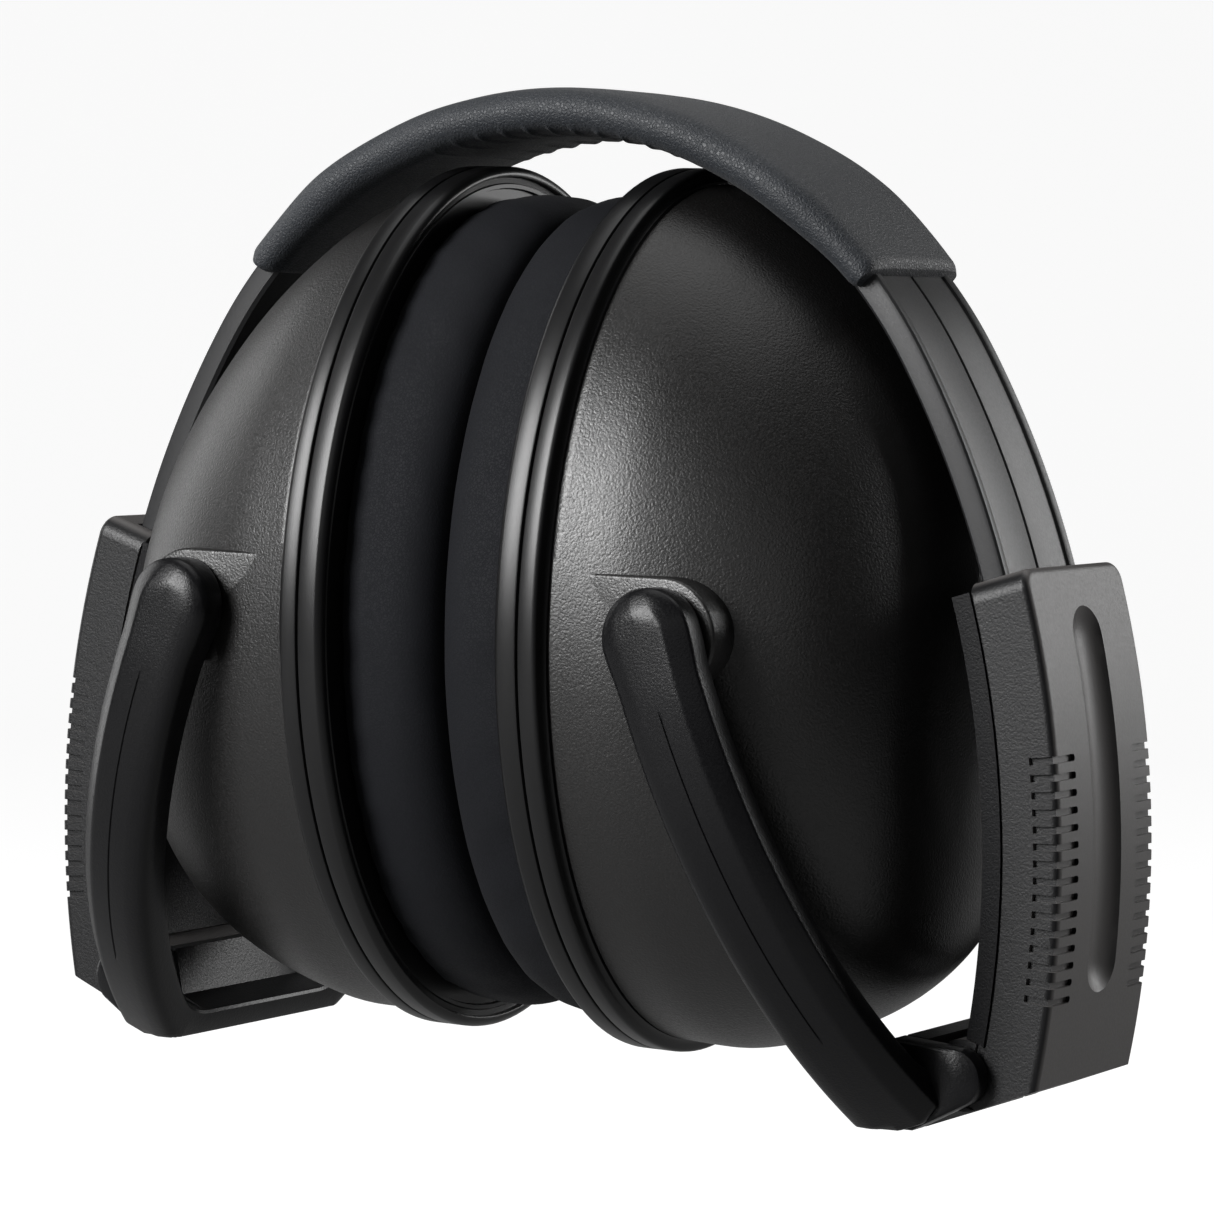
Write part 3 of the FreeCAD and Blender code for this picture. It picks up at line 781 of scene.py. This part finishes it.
    def rim_band(self) -> bpy.types.Object:
        """The shell's polished back band, with a fine parting line in front and a step behind.

        Returns:
            The dressed piece.
        """
        rings = [self.rim_ring(x, inset) for x, inset in
                 ((15.1, 20.0), (15.1, 1.2), (15.1, 0.5), (15.12, 0.2), (15.2, 0.06), (15.35, 0.0),
                  (16.9, 0.0), (17.2, 0.04), (17.4, 0.16), (17.52, 0.4), (17.6, 0.9), (17.72, 1.3),
                  (17.98, 1.55), (18.05, 2.6))]
        points, faces = loft(rings)
        return dress(piece(f"rim_band_skin_{self.side.label}", points, faces, self.side), RIM)

    def plate(self) -> bpy.types.Object:
        """The rim's front band, with a chamfered lip, two fine steps and the mouth for the ear.

        Returns:
            The dressed piece.
        """
        mouth = (self.rim_half[0] - self.mouth_half[0], self.rim_half[1] - self.mouth_half[1])
        profile = ((14.9, *mouth), (14.9, 1.2, 1.2), (14.9, 0.5, 0.5), (14.86, 0.2, 0.2),
                   (14.78, 0.06, 0.06), (14.6, 0.0, 0.0), (12.6, 0.0, 0.0), (12.35, 0.05, 0.05),
                   (11.95, 0.4, 0.4), (11.75, 0.75, 0.75), (11.7, 1.0, 1.0), (11.75, 1.2, 1.2),
                   (12.35, 1.35, 1.35), (12.4, 2.0, 2.0), (12.2, 2.15, 2.15), (12.2, 2.6, 2.6),
                   (12.7, 2.75, 2.75), (12.7, *mouth), (14.9, *mouth))
        rings = [self.rim_ring(*row) for row in profile]
        points, faces = loft(rings)
        return dress(piece(f"cushion_plate_skin_{self.side.label}", points, faces, self.side), RIM)

    def cushion(self) -> bpy.types.Object:
        """The ear cushion: a soft oval ring, flat where it meets its twin, with faint puckers.

        Returns:
            The dressed piece.
        """
        turns = np.linspace(0, 2 * math.pi, 360, endpoint=False)
        rows = smooth_path(self.cushion_profile, 64)
        rings = []
        for x, inset, inset_tall in rows:
            ring = self.rim_ring(x, inset, inset_tall, turns) / MM
            outward = np.stack([np.cos(turns), np.sin(turns)], axis=1)
            slack = smooth_step(0.2, 2.5, x)
            gather = slack * (0.10 * np.sin(9 * turns + 0.7) * np.sin(5 * turns + x / 3)
                              + 0.05 * np.sin(31 * turns + 1.3 * np.sin(3 * turns) + x / 2))
            pucker = (0.09 * smooth_step(7.0, 11.8, x)
                      * np.sin(58 * turns + 2.0 * np.sin(5 * turns)))
            sign = -1.0 if inset > self.tube_middle else 1.0
            ring[:, 1:] += outward * ((gather + pucker) * sign)[:, None]
            rings.append(ring * MM)
        rings.append(rings[0])
        points, faces = loft(rings)
        return dress(piece(f"ear_cushion_{self.side.label}", points, faces, self.side, SOFT_ANGLE),
                     CUSHION)

    def liner(self) -> bpy.types.Object:
        """The foam liner that fills the dome and leaves room for the ear.

        Returns:
            The dressed piece.
        """
        rings = []
        for depth, half, tall in ((16.0, 20.5, 31.5), (17.0, 20.0, 31.0), (24.0, 19.5, 30.0),
                                  (32.0, 18.0, 27.5), (37.0, 14.5, 23.0), (38.5, 8.0, 13.0)):
            rings.append(oval(half, tall, depth, self.centre_z - (depth - 16) * 0.12))
        points, faces = loft(rings[::-1], caps=(True, False))
        outer = [self.rim_ring(16.0, 18.0, 20.0), self.rim_ring(16.0, 6.0, 6.0),
                 self.rim_ring(24.0, 8.0, 9.0)]
        points, faces = join_parts((points, faces), loft([rings[0], *outer]))
        return dress(piece(f"foam_liner_{self.side.label}", points, faces, self.side, 60.0), FOAM)

    def build(self) -> None:
        """Builds the cup's pieces and puts them on their body."""
        label = self.side.label
        for made, slot, nodes in (
                (self.shell(), "cup_plastic", (f"cup_shell_{label}",)),
                (self.rim_band(), "rim_plastic", (f"cup_shell_{label}",)),
                (self.plate(), "rim_plastic", (f"cushion_plate_{label}",)),
                (self.cushion(), "cushion_leather",
                 (f"cushion_cover_{label}", f"cushion_foam_{label}")),
                (self.liner(), "foam", (f"cup_foam_{label}",))):
            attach(made, self.body)
            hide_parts(*nodes)
            LOG.info("%s rides on %s", made.name, self.body)


# ---------------------------------------------------------------- headband

@dataclass
class Headband:
    """Half of the spring strip and of the crown pad. Sizes in millimetres, angles in degrees."""

    side: Side
    side_centre: tuple[float, float] = (-49.3, 27.7)
    crown_centre: tuple[float, float] = (0.0, 57.8)
    side_radius: float = 115.0
    strip_thick: float = 3.0
    strip_half: float = 9.4
    strip_end: float = -6.5
    bend_drop: float = 57.76
    pad_angle: float = 48.0
    pad_middle: float = 56.4
    pad_section: list[tuple[float, float]] = field(default_factory=lambda: [
        (0.0, 59.2), (6.0, 59.15), (9.6, 58.95), (11.3, 58.5), (12.2, 57.6), (12.6, 56.5),
        (12.4, 55.3), (11.6, 54.3), (10.2, 53.75), (8.0, 53.6), (4.0, 53.6), (0.0, 53.6)])
    tip_reach: float = 0.9
    slim_reach: float = 14.0
    pleat_pitch: float = 3.55
    bend_reach: float = 54.0

    @property
    def body(self) -> str:
        """The name of the CAD body for this half of the strip."""
        return f"band_{self.side.label}"

    def frames(self, top: float = 90.0) -> list[tuple[np.ndarray, np.ndarray]]:
        """Points along the strip's outer face, from its lower end up.

        Args:
            top: the angle at which they stop, in degrees.

        Returns:
            Each point with its outward way.
        """
        cx, cz = self.side_centre
        gap = math.hypot(cx, self.crown_centre[1] - cz)
        join = math.degrees(math.atan2(self.crown_centre[1] - cz, -cx))
        rows = []
        for degrees in np.linspace(self.strip_end, join, 70, endpoint=False):
            way = np.array([math.cos(math.radians(degrees)), 0, math.sin(math.radians(degrees))])
            rows.append((np.array([cx, 0, cz]) + self.side_radius * way, way))
        for degrees in np.linspace(join, top, 70):
            way = np.array([math.cos(math.radians(degrees)), 0, math.sin(math.radians(degrees))])
            crown = np.array([0, 0, self.crown_centre[1]])
            rows.append((crown + (self.side_radius - gap) * way, way))
        return rows

    def strip(self) -> bpy.types.Object:
        """Half of the strip, with a raised bead along each edge and a groove down its middle.

        Returns:
            The dressed piece.
        """
        half, thick = self.strip_half, self.strip_thick
        upper = [(half, 0.55), (half - 0.12, 0.2), (half - 0.45, 0.0), (half - 1.35, 0.0),
                 (half - 1.65, 0.12), (half - 1.85, 0.38), (0.45, 0.30), (0.3, 0.34), (0.18, 0.62)]
        outline = upper + [(-v, drop) for v, drop in upper[::-1]]
        outline += [(-half, thick - 0.4), (-half + 0.4, thick), (half - 0.4, thick),
                    (half, thick - 0.4)]
        rings = [np.array([spot - way * drop + np.array([0, v, 0]) for v, drop in outline]) * MM
                 for spot, way in self.frames()]
        points, faces = loft(rings, caps=(True, False))
        return dress(piece(f"band_strip_skin_{self.side.label}", points, faces, self.side, 28.0),
                     BAND)

    def pad(self) -> bpy.types.Object:
        """Half of the crown pad: a soft sleeve with a rolled edge and pleats underneath.

        Returns:
            The dressed piece.
        """
        half = smooth_path(self.pad_section, 74)
        outline = np.array(half + [(-v, radius) for v, radius in half[-2:0:-1]])
        first = 90.0 - self.pad_angle
        angles = np.concatenate([first + np.array([0.0, 0.05, 0.2, 0.5, 0.9]),
                                 np.arange(first + 1.2, 90.0, 0.2), [90.0]])
        rings = [self.pad_ring(outline, degrees, degrees - first) for degrees in angles]
        points, faces = loft(rings, caps=(True, False))
        return dress(piece(f"crown_pad_{self.side.label}", points, faces, self.side, SOFT_ANGLE),
                     PAD)

    def pad_ring(self, outline: np.ndarray, degrees: float, from_end: float) -> Ring:
        """One ring of the pad.

        Args:
            outline: the plain section, as rows of (across, radius).
            degrees: where the ring stands; 90 is the crown.
            from_end: how many degrees it is from the pad's lower end.

        Returns:
            Its points in metres.
        """
        v, radius = outline[:, 0], outline[:, 1]
        plump = 1.0 - 0.30 * max(0.0, 1.0 - from_end / self.tip_reach) ** 2.5
        phase = 2 * math.pi * (90.0 - degrees + 0.4 * math.sin(degrees * 1.7)) / self.pleat_pitch
        fold = (0.5 + 0.5 * math.cos(phase)) ** 3
        low = smooth_step(54.9, 53.8, radius) * smooth_step(1.0, 7.0, np.abs(v))
        bulge = (0.10 * np.sin(np.radians(degrees) * 23 + v * 0.25)
                 * smooth_step(9.0, 12.0, np.abs(v)))
        middle_part = smooth_step(24.0, 8.0, 90.0 - degrees)
        radius = radius - low * middle_part * (0.30 * fold - 0.1) + 0.35 * bulge
        slim = float(smooth_step(self.slim_reach, 0.0, from_end))
        v = v * (1 - 0.10 * slim) + np.sign(v) * bulge
        radius = self.pad_middle + (radius - self.pad_middle) * plump * (1 - 0.16 * slim)
        v = v * (1 - 0.03 * (1 - plump))
        angle = math.radians(degrees - 1.1 * (1 - plump))
        return np.stack([self.crown_centre[0] + radius * math.cos(angle), v,
                         self.crown_centre[1] + radius * math.sin(angle)], axis=1) * MM

    def build(self) -> None:
        """Builds this half of the headband."""
        label = self.side.label
        for made, slot, nodes in ((self.strip(), "band_plastic", (f"band_strip_{label}",)),
                                  (self.pad(), "pad_leather", ("pad_cover", "pad_foam"))):
            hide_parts(*nodes)
            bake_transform(made)
            LOG.info("%s bends between crown and %s", made.name, self.body)


# ---------------------------------------------------------------- yoke

@dataclass
class Yoke:
    """The leaning hoop that carries a cup, with its foot and the fork around the slider's end.

    Sizes are in millimetres. Places on the hoop are (y, s), with s measured down the lean from the
    pivot. A section's points are (a, d), with a across the hoop's flat and d inwards from its
    outer face.
    """

    side: Side
    pivot: tuple[float, float] = (32.4, 55.3)
    lean: float = 20.4
    outer_y: float = 42.0
    thick: float = 4.8
    half_band: float = 5.2
    end_radius: float = 5.6
    arc_start: float = 5.0
    arc_radius: float = 70.28
    bar_outer: float = 59.0
    bar_inner: float = 54.0
    corner_y: float = 16.7
    fillet: float = 9.0
    hinge: tuple[float, float] = (58.5, 6.3)
    fork_radius: float = 3.4
    fork_inner: float = 12.6
    fork_depth: float = 54.05
    fork_top: float = 12.0
    cheek_outer: float = 16.35
    cheek_taper: float = 0.125
    taper_start: float = 52.0
    corner_share: float = 0.55
    line_span: tuple[float, float] = (9.0, 47.0)
    line_depth: float = 0.16

    def stations(self) -> list[tuple[np.ndarray, np.ndarray]]:
        """Places down the front arm and along half of the crossbar.

        Returns:
            Pairs of an outer and an inner place.
        """
        centre = np.array([self.outer_y - self.arc_radius, self.arc_start])
        top = -self.end_radius * np.cos(np.linspace(0.0, math.pi / 2, 22))
        rows = [(np.array([self.outer_y, s]), np.array([self.outer_y - self.thick, s]))
                for s in [*top, 1.0, 2.0, 3.0, 4.0]]
        inner_radius = self.arc_radius - self.thick
        hub = np.array([0.0, self.bar_inner - self.fillet])
        hub_drop = hub[1] - centre[1]
        hub[0] = centre[0] + math.sqrt((inner_radius - self.fillet) ** 2 - hub_drop ** 2)
        last = math.atan2(hub[1] - centre[1], hub[0] - centre[0])
        for angle in np.linspace(0, last, 70):
            way = np.array([math.cos(angle), math.sin(angle)])
            rows.append((centre + self.arc_radius * way, centre + inner_radius * way))
        corner_angle = math.asin((self.bar_outer - centre[1]) / self.arc_radius)
        turns, bend_end = np.linspace(last, math.pi / 2, 25)[1:], self.corner_share
        for number, turn in enumerate(turns, 1):
            share = number / len(turns)
            inner = hub + self.fillet * np.array([math.cos(turn), math.sin(turn)])
            if share <= bend_end:
                angle = last + (corner_angle - last) * share / bend_end
                outer = centre + self.arc_radius * np.array([math.cos(angle), math.sin(angle)])
            else:
                y = (self.corner_y
                     + (hub[0] - self.corner_y) * (share - bend_end) / (1 - bend_end))
                outer = np.array([y, self.bar_outer])
            rows.append((outer, inner))
        for y in np.linspace(hub[0], 0, 10)[1:]:
            rows.append((np.array([y, self.bar_outer]), np.array([y, self.bar_inner])))
        return rows

    def section(self, outer: np.ndarray, inner: np.ndarray) -> np.ndarray:
        """The hoop's section at one station, with its panel, bevel and fine line.

        Args:
            outer: the station's outer place.
            inner: its inner place.

        Returns:
            Rows of (a, d).
        """
        deep = float(np.linalg.norm(outer - inner))
        s = float(outer[1])
        line = self.line_depth if self.line_span[0] < s < self.line_span[1] else 0.0
        left = [(-5.2, 2.4), (-5.15, 1.7), (-4.98, 1.15), (-4.65, 0.72), (-4.15, 0.42),
                (-3.5, 0.22), (-2.9, 0.09), (-2.3, 0.0)]
        right = [(2.4, 0.0), (2.75, 0.03), (3.0, 0.1), (3.2, 0.2), (4.95, 1.38), (5.08, 1.52),
                 (5.16, 1.7), (5.2, 1.95)]
        front = np.array([*left, (-0.16, 0.0), (-0.06, line), (0.06, line), (0.16, 0.0), *right])
        back = np.array([(5.2, deep - 0.9), (5.12, deep - 0.4), (4.85, deep - 0.1), (4.4, deep),
                         (-4.4, deep), (-4.85, deep - 0.1), (-5.12, deep - 0.4),
                         (-5.2, deep - 0.9)])
        wide = math.sqrt(max(self.end_radius ** 2 - min(s, 0.0) ** 2, 0.02))
        wide = wide + (self.half_band - wide) * float(smooth_step(0.0, 6.0, s))
        front[:, 0] *= wide / self.half_band
        back[:, 0] *= wide / self.half_band
        if s < 0:
            reach = np.hypot(front[:, 0], s)
            share = 0.5 + 0.5 * front[:, 0] / np.maximum(reach, 0.01)
            reach = np.minimum(reach * self.half_band / self.end_radius, self.half_band)
            falls = [np.interp(reach, [abs(a) for a, _ in rows], [d for _, d in rows])
                     for rows in (left[::-1], right)]
            inside = np.abs(front[:, 0]) < wide - 0.01
            rounded = falls[0] * (1 - share) + falls[1] * share
            front[:, 1] = np.where(inside, rounded, front[:, 1] + (rounded - front[:, 1]) * 0.5)
        return np.concatenate([front, back])

    def place(self, y: np.ndarray, s: np.ndarray, a: np.ndarray) -> np.ndarray:
        """Turns hoop places into points, kept off the floor and out of the fork.

        Args:
            y: the places fore and aft.
            s: how far down the lean they are.
            a: how far across the hoop's flat.

        Returns:
            The points in metres.
        """
        lean = math.radians(self.lean)
        x = self.pivot[0] + s * math.sin(lean) + a * math.cos(lean)
        z = self.pivot[1] - s * math.cos(lean) + a * math.sin(lean)
        low = z < self.fork_top
        x = np.where(low & (np.abs(y) < self.fork_inner), np.minimum(x, self.fork_depth), x)
        return np.stack([x, y, np.maximum(z, 0.0)], axis=1) * MM

    def hoop(self) -> Mesh:
        """The hoop, from its front pivot end round to its rear one.

        Returns:
            Its points and faces.
        """
        rings = []
        for outer, inner in self.stations():
            section = self.section(outer, inner)
            inward = (inner - outer) / np.linalg.norm(inner - outer)
            spots = outer[None, :] + section[:, 1:2] * inward[None, :]
            rings.append(self.place(-spots[:, 0], spots[:, 1], section[:, 0]))
        rear = [ring * np.array([1, -1, 1]) for ring in rings[-2::-1]]
        return loft(rings + rear, caps=(True, True))

    def foot(self) -> Mesh:
        """The foot: a block behind the crossbar and the two cheeks of the fork, edges rounded.

        Returns:
            Its points and faces.
        """
        x, z = self.hinge
        arc = [(x + self.fork_radius * math.cos(a), z + self.fork_radius * math.sin(a))
               for a in np.radians(np.arange(-56, 91, 6.0))]
        cheek = np.array([(49.4, 0.0), (51.7, 0.0), (54.0, 0.0), (56.9, 1.57), *arc, (55.0, 9.95),
                          (51.4, 10.2), (50.4, 5.0)])
        block = np.array([(49.4, 0.0), (52.0, 0.0), (self.fork_depth, 0.0), (self.fork_depth, 5.0),
                          (self.fork_depth, 10.0), (51.4, 10.2), (50.4, 5.0)])
        parts = self.slab(block, -self.fork_inner, self.fork_inner, 0.0)
        for front in (-1, 1):
            side = self.slab(cheek, front * self.fork_inner, front * self.cheek_outer,
                             self.cheek_taper)
            parts = join_parts(parts, side)
        return parts

    def slab(self, outline: np.ndarray, low: float, high: float, taper: float) -> Mesh:
        """A slab between two places on Y with softened edges.

        Args:
            outline: its (x, z) points.
            low: the Y of its inner face.
            high: the Y of its outer face.
            taper: how far the outer face leans in for each millimetre of X beyond the foot.

        Returns:
            The vertices and the faces.
        """
        middle = outline.mean(axis=0)
        way = math.copysign(1.0, high - low)
        rings = []
        for shrink, y in ((0.35, low), (0.0, low + 0.3 * way), (0.0, high - 0.55 * way),
                          (0.12, high - 0.22 * way), (0.55, high)):
            reach = np.linalg.norm(outline - middle, axis=1, keepdims=True)
            spots = middle + (outline - middle) * (1 - shrink / np.maximum(reach, 1.0))
            beyond = np.maximum(spots[:, 0] - self.taper_start, 0.0)
            lean_in = taper * beyond * (abs(y) > abs(low) + 0.5)
            rings.append(np.stack([spots[:, 0], y - math.copysign(1.0, y) * lean_in,
                                   np.maximum(spots[:, 1], 0.0)], axis=1) * MM)
        return loft(rings, caps=(True, True))

    def build(self) -> None:
        """Builds the yoke and puts it on its body."""
        label = self.side.label
        points, faces = join_parts(self.hoop(), self.foot())
        yoke = dress(piece(f"yoke_skin_{label}", points, faces, self.side, 30.0), YOKE)
        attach(yoke, f"stirrup_{label}")
        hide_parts(f"yoke_{label}")
        LOG.info("%s rides on stirrup_%s", yoke.name, label)


# ---------------------------------------------------------------- parts kept from the frame

@dataclass
class Fittings:
    """The frame's own hard parts on one side, dressed in their finishes."""

    side: Side
    finishes: dict[str, Finish] = field(default_factory=lambda: {
        "slider_outer_shell": SLIDER, "slider_inner_shell": SLIDER_SIDE, "band_end_stop": BAND,
        "slider_detent_spring": STEEL, "hinge_pin": STEEL, "pivot_pin_front": STEEL,
        "pivot_pin_rear": STEEL})

    def build(self) -> None:
        """Dresses every hard part of this side."""
        for node, finish in self.finishes.items():
            dress(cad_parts[f"{node}_{self.side.label}"], finish)
            LOG.info("%s_%s wears %s", node, self.side.label, finish.name)


# ---------------------------------------------------------------- studio

@dataclass(frozen=True)
class SoftBox:
    """A soft rectangular light: its place and size in metres, its power in watts."""

    name: str
    place: tuple[float, float, float]
    size: tuple[float, float]
    power: float

    def build(self, target: Vector) -> None:
        """Hangs the light so that it faces a point.

        Args:
            target: the point, in metres.
        """
        data = bpy.data.lights.new(self.name, "AREA")
        data.shape = "RECTANGLE"
        data.size, data.size_y = self.size
        data.energy = self.power
        lamp = bpy.data.objects.new(self.name, data)
        lamp.location = self.place
        way = target - Vector(self.place)
        lamp.rotation_euler = way.to_track_quat("-Z", "Y").to_euler()
        bpy.context.scene.collection.objects.link(lamp)


@dataclass
class Studio:
    """The floor and its sweep, soft lights and the camera. Sizes in metres, angles in degrees."""

    azimuth: float = 31.499
    elevation: float = 3.934
    roll: float = 1.399
    distance: float = 0.565618
    lens: float = 139.52
    target: tuple[float, float, float] = (0.001911, 0.001171, 0.055183)
    sensor_width: float = 36.0
    clip_start: float = 0.01
    floor_drop: float = 0.16
    floor_half: float = 8.0
    sweep_start: float = 2.0
    sweep_radius: float = 1.5
    wall_height: float = 6.0
    world_colour: Colour = (1.0, 1.0, 1.0)
    world_strength: float = 0.03
    boxes: tuple[SoftBox, ...] = (
        SoftBox("soft_box_key", (-0.47, -1.02, 0.52), (0.52, 0.68), 32.0),
        SoftBox("soft_box_left", (-1.2, 0.15, 0.3), (0.5, 0.9), 3.5),
        SoftBox("soft_box_top", (0.0, 0.2, 1.3), (1.2, 1.2), 7.0),
        SoftBox("soft_box_front", (0.60, -0.95, 0.55), (0.7, 0.6), 0.8),
        SoftBox("soft_box_rear", (0.85, 1.20, 0.50), (0.7, 0.8), 14.5))

    def axes(self) -> tuple[Vector, Vector, Vector]:
        """The camera's own axes.

        Returns:
            Its right, up and backward ways.
        """
        turn, rise, roll = map(math.radians, (self.azimuth, self.elevation, self.roll))
        back = Vector((math.sin(turn) * math.cos(rise), -math.cos(turn) * math.cos(rise),
                       math.sin(rise)))
        right = Vector((math.cos(turn), math.sin(turn), 0))
        up = back.cross(right)
        return (right * math.cos(roll) + up * math.sin(roll),
                up * math.cos(roll) - right * math.sin(roll), back)

    def camera(self) -> None:
        """Places the camera and makes it the scene's own."""
        right, up, back = self.axes()
        place = Vector(self.target) + back * self.distance
        data = bpy.data.cameras.new("studio_camera")
        data.lens = self.lens
        data.sensor_width = self.sensor_width
        data.clip_start = self.clip_start
        camera = bpy.data.objects.new("studio_camera", data)
        camera.matrix_world = Matrix((
            (right.x, up.x, back.x, place.x), (right.y, up.y, back.y, place.y),
            (right.z, up.z, back.z, place.z), (0, 0, 0, 1)))
        bpy.context.scene.collection.objects.link(camera)
        bpy.context.scene.camera = camera

    def floor(self) -> None:
        """A pale floor that sweeps up into a backdrop, low enough for the cups to swing clear."""
        turn, half = math.radians(self.azimuth), self.floor_half
        right = np.array([math.cos(turn), math.sin(turn), 0])
        away = np.array([-math.sin(turn), math.cos(turn), 0])
        start, radius = self.sweep_start, self.sweep_radius
        bend = [(start + radius * math.sin(a), radius - radius * math.cos(a))
                for a in np.linspace(0, math.pi / 2, 24)]
        profile = [(-half, 0.0), (0.0, 0.0), *bend, (start + radius, self.wall_height)]
        rings = [np.array([right * u + away * depth + np.array([0, 0, height])
                           for u in (-half, 0.0, half)]) for depth, height in profile]
        rings = [ring - np.array([0, 0, self.floor_drop]) for ring in rings]
        points, faces = loft(rings, closed=False)
        floor = piece("studio_floor", points, faces, smooth_angle=SOFT_ANGLE)
        dress(floor, StudioPaper())

    def build(self) -> None:
        """Sets up floor, surroundings, soft boxes and camera."""
        self.floor()
        world = bpy.data.worlds.new("studio_surroundings")
        world.use_nodes = True
        background = world.node_tree.nodes["Background"]
        background.inputs["Color"].default_value = (*self.world_colour, 1)
        background.inputs["Strength"].default_value = self.world_strength
        bpy.context.scene.world = world
        for box in self.boxes:
            box.build(Vector(self.target))
        self.camera()
        bpy.context.scene.view_settings.view_transform = "Standard"
        LOG.info("studio ready")


def main() -> None:
    """Builds every sub-assembly on both sides, and the studio."""
    logging.basicConfig(level=logging.INFO, format="%(name)s: %(message)s")
    Studio().build()
    for side in Side:
        Headband(side).build()
        Cup(side).build()
        Yoke(side).build()
        Fittings(side).build()


if __name__ == "__main__":
    main()
